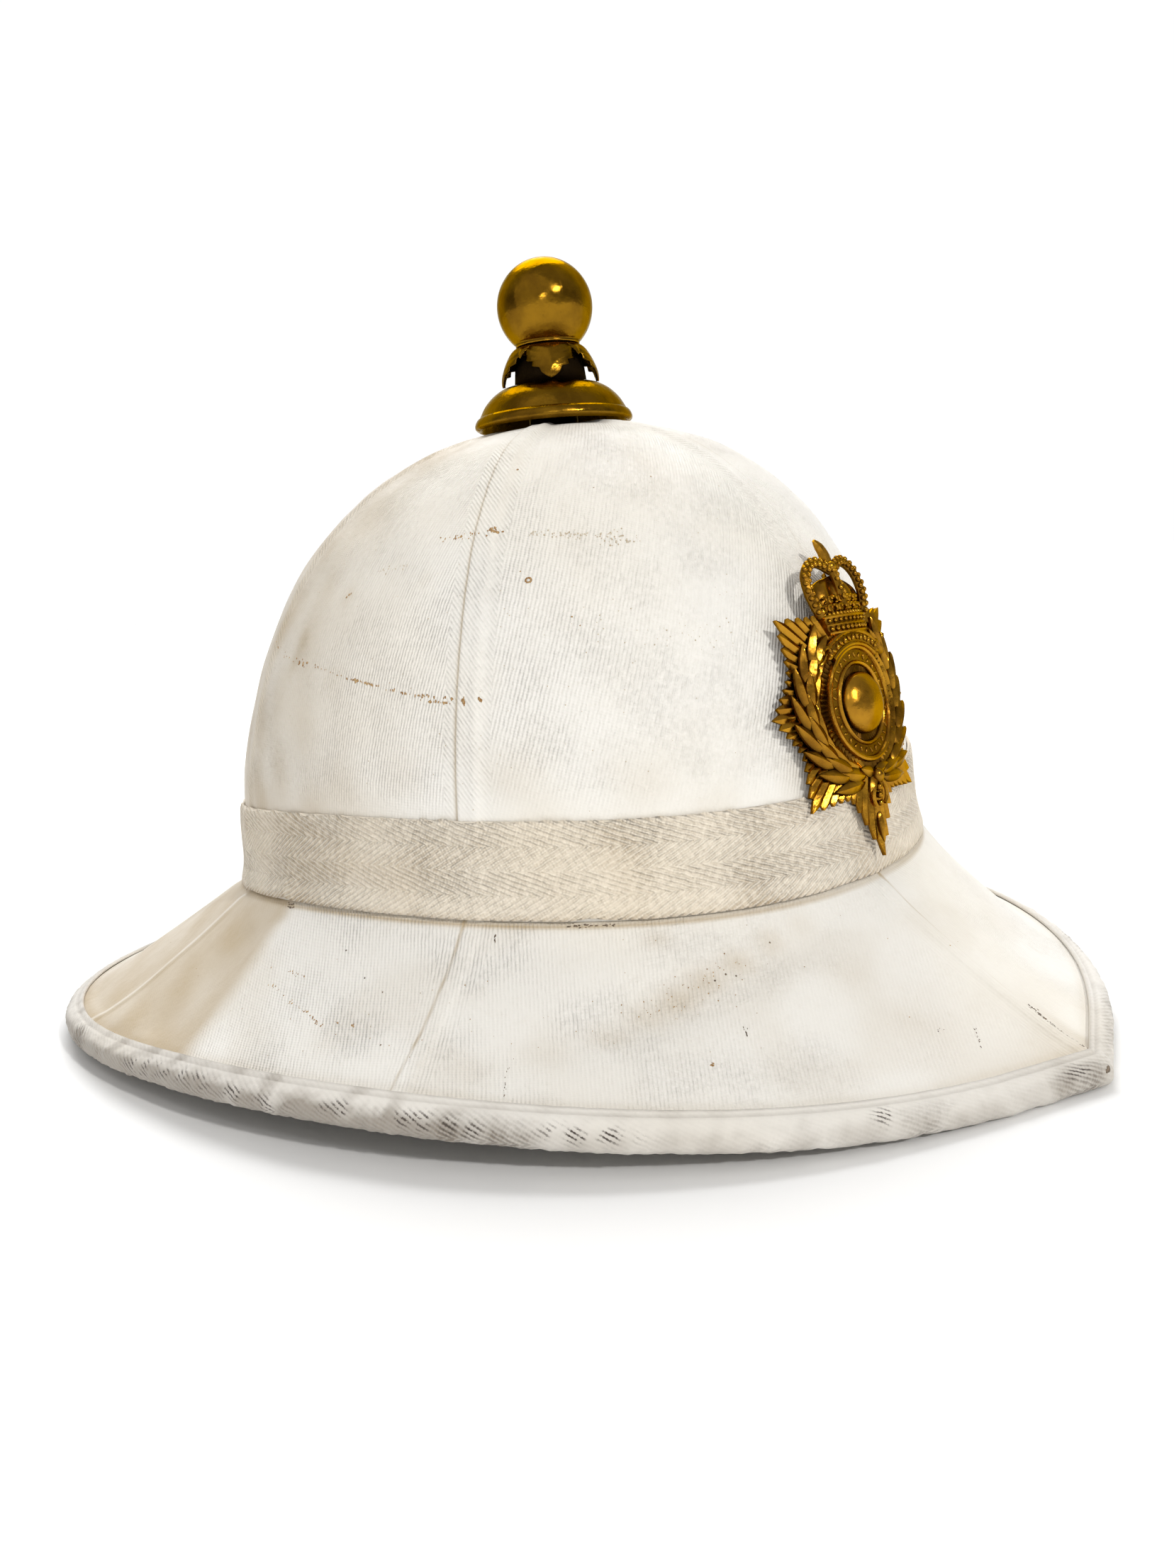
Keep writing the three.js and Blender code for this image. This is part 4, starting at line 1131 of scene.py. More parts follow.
def build_leaf_collar(level):
    """Four leaves with leaflets between them, hung from a neck ring and flared over the base."""
    rows, width = 40, 25
    fall = np.linspace(0, 1, rows)[:, None]
    lobes = np.array(LEAF_LOBES)
    half = np.interp(fall[:, 0], lobes[:, 0], lobes[:, 1])[:, None] * LEAF_HALF
    s = np.linspace(-1, 1, width)[None]
    aside = np.abs(s)
    radius = COLLAR_NECK + (COLLAR_FOOT + 1.0 - COLLAR_NECK) * fall**0.62
    veins = 0.16 * np.cos(9 * np.pi * (fall + 0.35 * aside)) * aside * (1 - fall)
    vein = 0.30 * (1 - aside) ** 2 + veins
    curl = -(0.3 + 1.3 * np.sin(np.pi * fall)) * aside**2 * (half / LEAF_HALF) ** 2 - 1.4 * fall**5
    points, faces, recess = [], [], []
    for n in range(8):
        small = n % 2
        drop = LEAFLET_DROP if small else 1.0
        turn = np.radians(45 + 45 * n) + s * half * (LEAFLET_WIDTH if small else 1.0)
        for layer, depth in ((0, 0.0), (1, -0.7)):
            r = COLLAR_NECK + (radius - COLLAR_NECK) * drop**0.62 + (vein + curl) * drop + depth
            up = COLLAR_HEIGHT * (1 - fall * drop) + 0 * s
            points.append(np.stack([-r * np.sin(turn), -r * np.cos(turn), up], -1).reshape(-1, 3))
            # The inner face of each leaf (layer 1) is darker: painted shade.
            recess.append((0.55 * aside**3 + 0.15 * fall + layer * 0.8).reshape(-1))
        faces.append(slab_faces(rows, width) + n * 2 * rows * width)
    points = np.concatenate(points) + TOP + [0, 0, level]
    neck = curve_through([(9.0, 0.0), (10.6, 0.1), (11.1, 0.55), (10.6, 1.0), (9.0, 1.1)], 5)
    neck = np.vstack([[STEM_RADIUS + GAP, 0.0], neck, [STEM_RADIUS + GAP, 1.1]])
    ring_points = revolved(neck, 96).reshape(-1, 3) + TOP + [0, 0, level + COLLAR_HEIGHT - 1.1]
    ring_faces = grid_faces(len(neck), 96, close_rows=True) + len(points)
    values = np.concatenate(recess + [np.full(len(ring_points), 0.1)])
    new_piece("leaf_collar_brass", np.vstack([points, ring_points]),
              np.concatenate(faces + [ring_faces]), brass, "leaf_collar",
              values={"recess": np.clip(values, 0, 1)})


# Badge, drawn flat with u to the wearer's left, v up and w outwards, then bent to the crown


class Relief:
    """Gathers closed bodies drawn flat, with a value for how deep each point lies in a recess."""

    def __init__(self):
        self.points, self.faces, self.recess, self.count = [], [], [], 0

    def add(self, points, faces, recess):
        self.faces.append(faces + self.count)
        self.points.append(points)
        self.recess.append(np.broadcast_to(recess, len(points)))
        self.count += len(points)

    def piece(self, name, material, node):
        recess = np.clip(np.concatenate(self.recess), 0, 1)
        piece = new_piece(name, bent(np.vstack(self.points)), np.concatenate(self.faces), material,
                          node, values={"recess": recess})
        piece.data.set_sharp_from_angle(angle=SHARP_ANGLE)
        piece.data.update()


SHARP_ANGLE = np.radians(38)


def bent(points):
    u, v, w = points.T
    straight = np.minimum(v, BEND_START)
    tilt = BADGE_LEAN + np.maximum(0, v - BEND_START) / BEND_CURVE
    back = straight * np.sin(BADGE_LEAN) + BEND_CURVE * (np.cos(BADGE_LEAN) - np.cos(tilt))
    up = straight * np.cos(BADGE_LEAN) + BEND_CURVE * (np.sin(tilt) - np.sin(BADGE_LEAN))
    turn = u / BADGE_SIDE_CURVE
    depth = (BADGE_SIDE_CURVE + w) * np.cos(turn) - BADGE_SIDE_CURVE
    seat = crown_point(np.array(0.0), np.array(BADGE_HEIGHT), -BADGE_STAND_OFF)[1]
    return np.stack([
        (BADGE_SIDE_CURVE + w) * np.sin(turn),
        seat + back - depth * np.cos(tilt),
        BADGE_HEIGHT + up + depth * np.sin(tilt),
    ], 1)


def star_reach(turn):
    """Edge of the star: stepped, pointed rays that are longest at each point's middle."""
    rays = STAR_POINTS * RAYS_PER_POINT
    ray = 2 * np.pi / rays
    point_turn = 2 * np.pi / STAR_POINTS

    def limit(at):
        point = np.round(at / point_turn) * point_turn
        off = np.abs(at - point) / (point_turn / 2)
        sideways = np.abs(np.cos(point)) < 1e-6
        down = np.cos(point) < -1 + 1e-6
        tip = np.where(down, STAR_FOOT_REACH, np.where(sideways, STAR_SIDE_REACH, STAR_RADIUS))
        inner = STAR_RADIUS * STAR_INNER
        return inner + (tip - inner) * (1 - np.clip(off, 0, 1)) ** 1.6

    middle = np.round(turn / ray) * ray
    x = np.abs(turn - middle) / (ray / 2)
    tip = limit(middle)
    notch = 0.94 * limit(middle + np.sign(turn - middle) * ray / 2)
    return tip + (notch - tip) * x**1.1, x


def add_star(relief):
    count = STAR_POINTS * RAYS_PER_POINT * 8
    turn = circle(count)
    reach, x = star_reach(turn)
    shares = np.concatenate([[0.0, 0.25], np.linspace(0.45, 0.97, 15), [1.0]])[:, None]
    radius = 0.2 + shares * (reach - 0.2)
    flute = 0.72 * (1 - x)
    rise = smooth_step(shares, 0.3, 0.5) * (1 - 0.25 * smooth_step(shares, 0.9, 1.0))
    dish = 1.6 * (1 - (radius / STAR_RADIUS) ** 2).clip(-0.4, 1)
    top = 0.8 + flute * rise + dish * smooth_step(1 - shares, 0.0, 0.5)
    top[-1] = 0.75 + 0.5 * (1 - x)
    face = np.stack([radius * np.sin(turn), radius * np.cos(turn), top], -1)
    back = np.stack([reach * np.sin(turn), reach * np.cos(turn), 0 * reach], -1)[None]
    centre = back * [0.02, 0.02, 0]
    grid = np.concatenate([face, back, centre])
    points = grid.reshape(-1, 3)
    recess = np.concatenate([(0.4 * x**6 * rise + 0 * shares), np.full((2, count), 0.9)])
    recess[: 6] = 0.9
    relief.add(points, outward(points, grid_faces(len(grid), count)), recess.reshape(-1))


def add_leaf(relief, length, width, rise, at, turn, lift=0.0, curl=0.6):
    """A pointed leaf with a ridge, lying from its foot at (u, v) towards turn, 0 being up."""
    rows, width_count = 12, 9
    s = np.linspace(0, 1, rows)[:, None]
    t = np.linspace(-1, 1, width_count)[None]
    aside = np.abs(t)
    half = np.maximum(width / 2 * np.sin(np.pi * s**0.75) ** 0.8, 0.02)
    u = t * half
    v = s * length + 0 * t
    w = lift + rise * (1 - aside) ** 0.8 * np.sin(np.pi * s**0.8) ** 0.5 + curl * s**2
    w = w + 0.22 * aside**6 * np.sin(np.pi * s)
    w = w + 0.12 * np.cos(14 * s - 5 * aside) * aside * (1 - aside) * 2
    c, k = np.cos(turn), np.sin(turn)
    top = np.stack([at[0] + u * c + v * k, at[1] - u * k + v * c, w], -1)
    low = top.copy()
    low[..., 2] = np.minimum(low[..., 2] - 0.8, lift + 0.2)
    points = np.concatenate([top.reshape(-1, 3), low.reshape(-1, 3)])
    recess = (0.75 * aside**2 + 0.25 * (1 - s)).reshape(-1)
    recess = np.concatenate([recess, np.full(rows * width_count, 0.95)])
    relief.add(points, outward(points, slab_faces(rows, width_count)), recess)


def add_bead(relief, at, radius, stretch=(1, 1, 1), turn=0.0):
    """A bead at (u, v, w) of its middle."""
    rows, steps = 7, 10
    lat = np.clip(np.linspace(0, np.pi, rows)[:, None], 0.02, np.pi - 0.02)
    lon = circle(steps)
    across = np.sin(lat)
    ball = np.stack([across * np.cos(lon), across * np.sin(lon), np.cos(lat) + 0 * lon], -1)
    ball = ball.reshape(-1, 3) * np.array(stretch) * radius
    c, k = np.cos(turn), np.sin(turn)
    x, y, z = ball.T
    points = np.stack([x * c + y * k, y * c - x * k, z], 1)
    recess = np.clip(0.8 - 0.9 * points[:, 2] / radius, 0, 1)
    faces = outward(points, grid_faces(rows, steps))
    relief.add(points + np.array(at), faces, recess)


def add_tube(relief, path, radius, sides=8, recess=0.3):
    """A rod along points; its radius may change along it."""
    path = np.asarray(path, float)
    radius = np.broadcast_to(radius, len(path))[:, None]
    along = np.gradient(path, axis=0)
    along /= np.linalg.norm(along, axis=1, keepdims=True)
    side = np.cross(along, [0, 0, 1.0])
    side /= np.maximum(np.linalg.norm(side, axis=1, keepdims=True), 1e-9)
    up = np.cross(side, along)
    turn = circle(sides)[None, :, None]
    around = side[:, None] * np.cos(turn) + up[:, None] * np.sin(turn)
    grid = path[:, None] + radius[..., None] * around
    first = np.repeat(path[:1], sides, 0)[None] + 1e-3 * (grid[:1] - path[:1, None])
    last = np.repeat(path[-1:], sides, 0)[None] + 1e-3 * (grid[-1:] - path[-1:, None])
    grid = np.concatenate([first, grid, last])
    points = grid.reshape(-1, 3)
    relief.add(points, outward(points - points.mean(0), grid_faces(len(grid), sides)), recess)


def add_ring(relief, profile, steps, recess):
    """A ring about the badge's middle, from a closed profile of (radius, height)."""
    grid = revolved(profile, steps)[..., [1, 0, 2]]
    grid[..., 1] *= RING_STRETCH
    points = grid.reshape(-1, 3)
    faces = outward(points, grid_faces(len(profile), steps, close_rows=True))
    relief.add(points, faces, np.repeat(recess, steps))


def add_patch(relief, outline_half, low, high, height, recess, rows=14, across=20):
    """A raised field between two heights v, as wide as outline_half(v), with its own relief."""
    v = np.linspace(low, high, rows)[:, None]
    width = across + 1
    t = np.linspace(-1, 1, width)[None]
    top = np.stack([t * outline_half(v), v + 0 * t, height(t, v)], -1)
    base = top.copy()
    base[..., 2] = 0.5
    points = np.concatenate([top.reshape(-1, 3), base.reshape(-1, 3)])
    shade = np.clip(recess(t, v) + 0 * t + 0 * v, 0, 1).reshape(-1)
    shade = np.concatenate([shade, np.full(rows * width, 0.9)])
    relief.add(points, outward(points - points.mean(0), slab_faces(rows, width)), shade)


def add_wreath(relief):
    """Long leaves in three rows up each side of the ring, each over the one before it."""
    count = 8
    # how far out each row lies, how far its leaves splay and how long the lowest is
    rows = ((19.8, -0.30, 13.4), (22.8, 0.26, 13.4), (21.2, -0.02, 12.0))
    for side in (-1, 1):
        for n in range(count):
            share = n / (count - 1)
            turn = np.radians(12 + 114 * share)
            for row, (radius, splay, full_length) in enumerate(rows):
                foot = np.array([side * radius * np.sin(turn), -radius * np.cos(turn)])
                heading = side * (np.pi / 2 - turn + splay)
                lift = 1.7 + 0.4 * row + 0.2 * (n % 2)
                length = full_length * (1 - 0.16 * share)
                add_leaf(relief, length, 4.0, 1.25, foot, heading, lift, curl=0.35)
        stem = np.radians(np.linspace(6, 146, 30))
        path = np.stack([side * 21 * np.sin(stem), -21 * np.cos(stem), 2.0 + 0 * stem], 1)
        add_tube(relief, path, 0.7)


def add_crown(relief):
    """A plain pierced crown: a beaded rim, a cap, an arch up each side, a spine and a bent tip."""
    top = CROWN_FOOT + CROWN_RISE
    rim_half = lambda v: 9.2 + (v - CROWN_FOOT) * 0.24
    rim_rise = lambda t: 1.9 + 2.0 * np.sqrt(np.maximum(0, 1 - t**2 * 0.8))
    lines = lambda v: (bump_at(v, CROWN_FOOT + 0.7, 0.45) + bump_at(v, CROWN_FOOT + 5.0, 0.45)
                       + 0.7 * bump_at(v, CROWN_FOOT + 2.9, 0.3))
    add_patch(relief, rim_half, CROWN_FOOT, CROWN_FOOT + 5.6,
              lambda t, v: rim_rise(t) + 0.5 * lines(v), lambda t, v: 0.65 - 0.5 * lines(v), rows=22)
    for t in np.linspace(-0.86, 0.86, 9):
        for level, size in ((1.8, 0.62), (4.0, 0.5)):
            v = CROWN_FOOT + level
            add_bead(relief, (t * rim_half(v), v, rim_rise(t) + 0.2), size, (1.3, 1, 0.9))
    add_crown_cap(relief)
    for t in np.linspace(-0.9, 0.9, 13):
        place = (t * 10.4, CROWN_FOOT + 5.7, 1.6 + 2.0 * np.sqrt(1 - t**2))
        add_bead(relief, place, 0.72)
    for side in (-1, 1):
        add_crown_arch(relief, side)
    spine = [(0, CROWN_FOOT + 8, 3.0), (0, CROWN_FOOT + 13.5, 3.6), (0, top - 3.2, 3.6)]
    add_tube(relief, curve_through(spine, 6), 1.25, recess=0.5)
    for n in range(7):
        add_bead(relief, (0.5 if n % 2 else -0.5, CROWN_FOOT + 10 + n * 1.25, 4.4), 0.75)
    add_bead(relief, (0, top - 2.2, 3.6), 2.0, (1.1, 0.9, 0.9))
    finial = curve_through([
        (0, top - 2.0, 3.2), (0.1, top + 0.4, 3.5), (0.0, top + 2.8, 3.7), (-0.9, top + 4.8, 4.0),
        (-2.0, top + 5.9, 4.4),
    ], 6)
    last = len(finial) - 1
    radius = np.interp(np.arange(len(finial)), [0, 8, 16, last], [1.3, 1.6, 1.35, 0.45])
    add_tube(relief, finial, radius, recess=0.2)
    for side in (-1, 1):
        add_leaf(relief, 3.6, 2.2, 0.9, (side * 0.8, top - 2.4), side * 0.9, lift=3.2, curl=0.8)


def add_crown_cap(relief):
    """The folded cap behind the arches, with two rows of small curls on it."""
    foot = CROWN_FOOT + 5.2
    rise = 11.6
    share = lambda v: np.clip((v - foot) / rise, 0, 1)
    half = lambda v: ((10.0 + 2.2 * np.sin(share(v) * 2.6))
                      * np.sqrt(1.02 - np.maximum(0, share(v) / 0.5 - 1) ** 2))
    folds = lambda t, v: np.cos(4 * np.pi * t) * np.sin(share(v) * np.pi)
    swell = lambda t, v: 2.1 * np.sqrt(np.maximum(0, 1 - t**2)) * (1 - 0.35 * share(v) ** 3)
    add_patch(relief, half, foot, foot + rise, lambda t, v: 1.0 + swell(t, v) + 0.4 * folds(t, v),
              lambda t, v: 0.35 - 0.3 * folds(t, v), rows=26, across=44)
    curl = np.linspace(0.4, 5.4, 12)
    reach = 1.15 * (1 - curl / 9)
    for level, spread, count in ((7.3, 0.82, 9), (9.6, 0.72, 8)):
        for n, t in enumerate(np.linspace(-spread, spread, count)):
            u = t * 10.6 + (1 if n % 2 else -1) * reach * np.cos(curl)
            v = CROWN_FOOT + level + reach * np.sin(curl)
            w = 1.0 + 2.1 * np.sqrt(1 - t**2) + 0.5
            add_tube(relief, np.stack([u, v, w + 0 * curl], 1), 0.42, sides=6, recess=0.1)


def add_crown_arch(relief, side):
    """An arch up one side, with two staggered rows of beads along it."""
    top = CROWN_FOOT + CROWN_RISE
    arch = curve_through([
        (side * 10.6, CROWN_FOOT + 5.6, 2.2), (side * 12.4, CROWN_FOOT + 9, 2.6),
        (side * 13.2, CROWN_FOOT + 13, 2.8), (side * 12.3, CROWN_FOOT + 17.2, 3.0),
        (side * 9.2, top - 0.9, 3.2), (side * 5.0, top - 0.6, 3.3), (0, top - 3.2, 3.2),
    ], 8)
    add_tube(relief, arch, 1.35, recess=0.6)
    along = np.gradient(arch[:, :2], axis=0)
    along /= np.linalg.norm(along, axis=1)[:, None]
    travel = np.concatenate([[0], np.cumsum(np.linalg.norm(np.diff(arch, axis=0), axis=1))])
    for n, at in enumerate(np.arange(0.9, travel[-1], 1.0)):
        u, v, w = [np.interp(at, travel, arch[:, k]) for k in range(3)]
        along_u, along_v = [np.interp(at, travel, along[:, k]) for k in range(2)]
        aside = 0.72 if n % 2 else -0.72
        add_bead(relief, (u - aside * along_v, v + aside * along_u, w + 0.75), 0.86)


def arc(radius, turn, height):
    """A path about the badge's middle, at angles from its top."""
    return np.stack([radius * np.sin(turn), radius * np.cos(turn), height + 0 * turn], 1)


def add_scroll(relief):
    """A beaded scroll between the ring and the crown."""
    half = np.radians(38)
    for radius in (17.0, 20.6):
        add_tube(relief, arc(radius, np.linspace(-half, half, 40), 3.4), 0.75, recess=0.15)
    add_tube(relief, arc(18.8, np.linspace(-half, half, 30), 2.6), 1.7, recess=0.6)
    for n, at in enumerate(np.radians(np.linspace(-34, 34, 12))):
        place = (18.8 * np.sin(at), 18.8 * np.cos(at), 4.1)
        add_bead(relief, place, 0.75, (0.7, 1.3, 1), at + (0.5 if n % 2 else -0.5))
    for side in (-1, 1):
        curl = np.linspace(0, 1.6 * np.pi, 22)
        r = 2.3 * (1 - curl / 8)
        u, v = side * (12.6 + r * np.cos(curl) * 0.9), 15.0 + r * np.sin(curl)
        add_tube(relief, np.stack([u, v, 3.4 + 0 * curl], 1), 0.75, recess=0.2)


def add_knot(relief):
    """Where the wreath's stems cross: a small bow, a bead and a drop."""
    for side in (-1, 1):
        add_leaf(relief, 7.4, 3.4, 1.2, (0, -20.6), side * 1.25, lift=2.6, curl=0.6)
        add_leaf(relief, 6.6, 3.0, 1.1, (0, -20.6), side * 2.4, lift=2.6, curl=0.4)
        loop = [
            (0, -21, 3.2), (side * 2.8, -24.4, 3.4), (side * 3.4, -27.6, 3.0),
            (side * 2.2, -29.6, 2.6),
        ]
        add_tube(relief, curve_through(loop, 6), 0.6, recess=0.2)
    add_bead(relief, (0, -21.2, 3.6), 2.0, (1, 1.15, 0.8))
    for n, size in enumerate((1.25, 1.05, 0.9)):
        add_bead(relief, (0, -24.6 - n * 2.3, 3.0 - 0.2 * n), size)
    add_leaf(relief, 9.5, 2.8, 1.0, (0, -31.2), np.pi, lift=1.6, curl=0.0)


def build_badge():
    relief = Relief()
    add_star(relief)
    inner = RING_RADIUS - RING_WIDTH
    # radius, height and recess of the ring's profile
    ring = np.array([
        (inner, 0.6, 0.9), (RING_RADIUS, 0.6, 0.9), (RING_RADIUS, 2.9, 0.5),
        (RING_RADIUS - 0.25, 3.5, 0.05), (RING_RADIUS - 0.8, 3.75, 0.0),
        (RING_RADIUS - 1.35, 3.5, 0.05), (RING_RADIUS - 1.6, 2.9, 0.5), (inner + 1.3, 2.8, 0.55),
        (inner + 1.1, 3.3, 0.1), (inner + 0.7, 3.6, 0.0), (inner + 0.3, 3.3, 0.1), (inner, 2.7, 0.7),
    ])
    add_ring(relief, ring[:, :2], 120, ring[:, 2])
    radius = (inner + RING_RADIUS) / 2 - 0.15
    for n, at in enumerate(circle(32)):
        place = (radius * np.sin(at), radius * np.cos(at) * RING_STRETCH, 2.75)
        add_bead(relief, place, 0.8, (0.6, 1.25, 0.6), at + (0.45 if n % 2 else -0.45))
    add_wreath(relief)
    add_crown(relief)
    add_scroll(relief)
    add_knot(relief)
    for v in (-15, 15):
        add_tube(relief, [(0, v, 0.6), (0, v, -0.6), (0, v + 0.001, -1.4)], 1.6, recess=0.9)
    relief.piece("badge_gilt", gilt, "badge_plate")

    boss = Relief()
    steps = 72
    lat = np.linspace(0, np.pi / 2, 22)[:, None]
    turn = circle(steps)
    radius = np.maximum(0.02, BOSS_RADIUS * np.cos(lat))
    height = BOSS_FOOT + BOSS_RISE * np.sin(lat) + 0 * turn
    grid = np.stack([radius * np.sin(turn), radius * np.cos(turn), height], -1)
    grid[..., 2] += 0.14 * ripple(grid, 7, 61) * np.sin(lat)
    grid = np.concatenate([grid[:1] * [0.002, 0.002, 1], grid])
    points = grid.reshape(-1, 3)
    recess = np.interp(points[:, 2], [BOSS_FOOT, BOSS_FOOT + 1.2], [0.9, 0.15])
    boss.add(points, outward(points, grid_faces(len(grid), steps)), recess)
    boss.piece("boss_gilt", gilt, "badge_boss")


# Small marks


def crown_place(turn, height):
    return crown_point(np.radians(turn), np.array(float(height)))


def brim_place(turn, share):
    angle = np.array([np.radians(turn) % (2 * np.pi)])
    root, root_z, out, width = brim_spokes(angle, angle)
    distance, height = brim_section(root_z, width, edge_lift(angle), np.array([share]))[:2]
    return root[0] * [1, 1, 0] + out[0] * distance + np.array([0, 0, float(height[0])])


class Marks:
    """Gathers small flat spots that lie on a piece of cloth."""

    SIDES = 9
    RISE = 0.00006
    EDGE_RISE = 0.00003
    SINK = 0.0001

    def __init__(self, cloth, seed):
        self.tree = BVHTree.FromObject(cloth, bpy.context.evaluated_depsgraph_get())
        self.rng = np.random.default_rng(seed)
        self.points, self.faces = [], []

    def spot(self, place, radius, stretch=1.0, lean=0.0):
        """One spot with an uneven outline; it is stretched upwards, and leans by an angle."""
        centre = Vector((place + AXIS) / 1000)
        seat, normal = self.tree.find_nearest(centre)[:2]
        side = normal.cross(Vector((0, 0, 1))).normalized()
        rise = side.cross(normal)
        first = len(self.points)
        count = self.SIDES
        c, k = np.cos(lean), np.sin(lean)
        self.points.append(seat + normal * self.RISE)
        for n in range(count):
            turn = 2 * np.pi * n / count
            reach = radius * self.rng.uniform(0.7, 1.25) / 1000
            u, v = reach * np.cos(turn), reach * np.sin(turn) * stretch
            flat = side * (u * c + v * k) + rise * (v * c - u * k)
            near, facing = self.tree.find_nearest(seat + flat)[:2]
            self.points.append(near + facing * self.EDGE_RISE)
        self.points.append(seat - normal * self.SINK)
        for n in range(count):
            a, b = first + 1 + n, first + 1 + (n + 1) % count
            self.faces += [(first, a, b), (first + count + 1, b, a)]

    def trails(self, place, table):
        """Spots strewn at random along lines through stops, about as many in each span."""
        for stops, count, radius, jitter, *shape in table:
            stops = np.array(stops, float)
            numbers = np.arange(len(stops))
            for t in np.sort(self.rng.uniform(0, len(stops) - 1, count)):
                turn = np.interp(t, numbers, stops[:, 0]) + self.rng.normal() * jitter[0]
                level = np.interp(t, numbers, stops[:, 1]) + self.rng.normal() * jitter[1]
                self.spot(place(turn, level), radius * self.rng.uniform(0.5, 1.3), *shape)

    def piece(self, name, material, node):
        mesh = bpy.data.meshes.new(name)
        mesh.from_pydata([tuple(p) for p in self.points], [], self.faces)
        link_piece(name, mesh, material, node)


# Each trail: its stops as (angle, level), the number of spots, their size, their scatter in angle
# and level, and where they aren't round their stretch and lean. Levels are heights on the crown and
# shares of the brim's width.
CROWN_RUST = [
    ([(119, 130.5), (112, 127), (105.5, 125)], 9, 0.30, (0.6, 0.4), 0.8),
    ([(106, 125.5), (102, 124), (99, 124)], 12, 0.55, (0.7, 0.7), 0.8),
    ([(98, 123.5), (85, 119.3)], 14, 0.26, (0.3, 0.2)),
    ([(85, 119.2), (83.2, 118.6)], 7, 0.45, (0.2, 0.15)),
    ([(83, 118.6), (69, 113.7)], 44, 0.22, (0.25, 0.15), 1.5),
    ([(69.5, 114.2), (63.5, 112.9)], 14, 0.27, (0.3, 0.12), 1.5),
    ([(69.5, 113.0), (63.5, 111.7)], 14, 0.27, (0.3, 0.12), 1.5),
    ([(61.6, 112.6), (61.4, 111.4)], 8, 0.36, (0.12, 0.5), 1.8),
    ([(59.6, 112.4), (58.6, 111.8)], 5, 0.32, (0.2, 0.5), 1.5),
    ([(71, 156.6), (62.5, 156.8)], 24, 0.22, (0.6, 0.45), 1.4),
    ([(60, 156.6), (57.6, 157)], 11, 0.40, (0.3, 0.6), 1.3, 0.6),
]
CROWN_SPOTS = [
    # angle, height and size
    (44.4, 132.5, 0.3), (43.2, 130, 0.22), (57, 174.5, 0.4), (38.5, 166.5, 0.2), (92, 143, 0.5),
    (92.6, 142.4, 0.4), (91.5, 143.3, 0.3), (71.5, 157, 0.22), (53, 145.5, 0.2), (25, 169.5, 0.25),
]
CROWN_PALE = [
    ([(52, 155.8), (45, 154.4), (41, 153.8)], 60, 0.22, (0.5, 0.55), 1.2),
    ([(39, 153), (32.5, 151.8)], 46, 0.24, (0.7, 0.9), 1.1),
    ([(86, 149.3), (78, 149.5)], 18, 0.20, (0.6, 0.7), 1.3),
    ([(44, 129), (28, 126), (20, 124)], 46, 0.17, (2.0, 3.0)),
    ([(112, 150), (60, 132), (10, 150)], 90, 0.15, (12, 16)),
    ([(100, 100), (20, 100)], 60, 0.15, (8, 10)),
    ([(330, 130), (180, 130), (120, 120)], 120, 0.18, (14, 20)),
]
# Dark marks just under the lifted band edge: painted shadow in the gaps there.
BAND_GAP_SHADOWS = [
    ([(47, 0.012), (41.5, 0.012)], 26, 0.42, (0.4, 0.004), 0.5),
    ([(100, 0.02), (97.5, 0.02)], 12, 0.5, (0.4, 0.006), 0.5),
]
BRIM_SPOTS = [
    # angle and share
    (22, 0.143), (27.5, 0.26), (30, 0.272), (28.6, 0.25), (74, 0.30), (80, 0.18), (70, 0.36),
    (66, 0.64),
]
BRIM_CRACKS = [
    ([(51, 0.64), (51.3, 0.74), (50.6, 0.86)], 11, 0.13, (0.10, 0.004), 2.4),
    ([(57.2, 0.05), (57, 0.085)], 8, 0.14, (0.05, 0.004), 2.4),
    ([(28.5, 0.50), (28.3, 0.54)], 6, 0.16, (0.1, 0.004), 2.4),
    ([(6.2, 0.69), (7.6, 0.78)], 12, 0.14, (0.05, 0.004), 2.2),
    ([(9.0, 0.65), (9.6, 0.66)], 5, 0.16, (0.3, 0.004)),
    ([(-1.5, 0.70), (-0.9, 0.80), (-0.5, 0.925)], 70, 0.30, (0.2, 0.004)),
]
BRIM_RUST = [
    ([(92, 0.315), (85, 0.33)], 12, 0.24, (0.5, 0.006)),
    ([(90, 0.40), (85, 0.46), (80, 0.51), (75.5, 0.575)], 34, 0.24, (0.35, 0.004)),
    ([(74.8, 0.54), (70, 0.555)], 12, 0.22, (0.5, 0.006)),
    ([(38, 0.40), (31, 0.27), (27, 0.21)], 60, 0.17, (1.6, 0.03)),
    ([(32.6, 0.664), (32.2, 0.67)], 5, 0.30, (0.1, 0.004)),
    ([(2, 0.2), (60, 0.5), (110, 0.6)], 70, 0.14, (10, 0.18)),
    ([(150, 0.5), (230, 0.5), (320, 0.5)], 90, 0.16, (10, 0.2)),
    ([(-24, 0.955), (-14, 0.95), (-7, 0.945), (-3, 0.94)], 34, 0.28, (0.25, 0.002)),
    ([(112, 0.915), (104, 0.92), (96, 0.92)], 30, 0.26, (0.3, 0.002)),
]


def build_crown_marks(cloth):
    """Rusty thread ends in two dotted lines, a ring-shaped spot, single spots and pale marks."""
    rusty = Marks(cloth, 71)
    rusty.trails(crown_place, CROWN_RUST)
    for turn in circle(12):
        rusty.spot(crown_place(51.5 + 0.48 * np.cos(turn), 143 + 0.62 * np.sin(turn)), 0.32)
    for turn, height, radius in CROWN_SPOTS:
        rusty.spot(crown_place(turn, height), radius)
    rusty.piece("crown_rust_marks", rust, "crown")
    pale = Marks(cloth, 72)
    pale.trails(crown_place, CROWN_PALE)
    pale.piece("crown_pale_marks", faded, "crown")


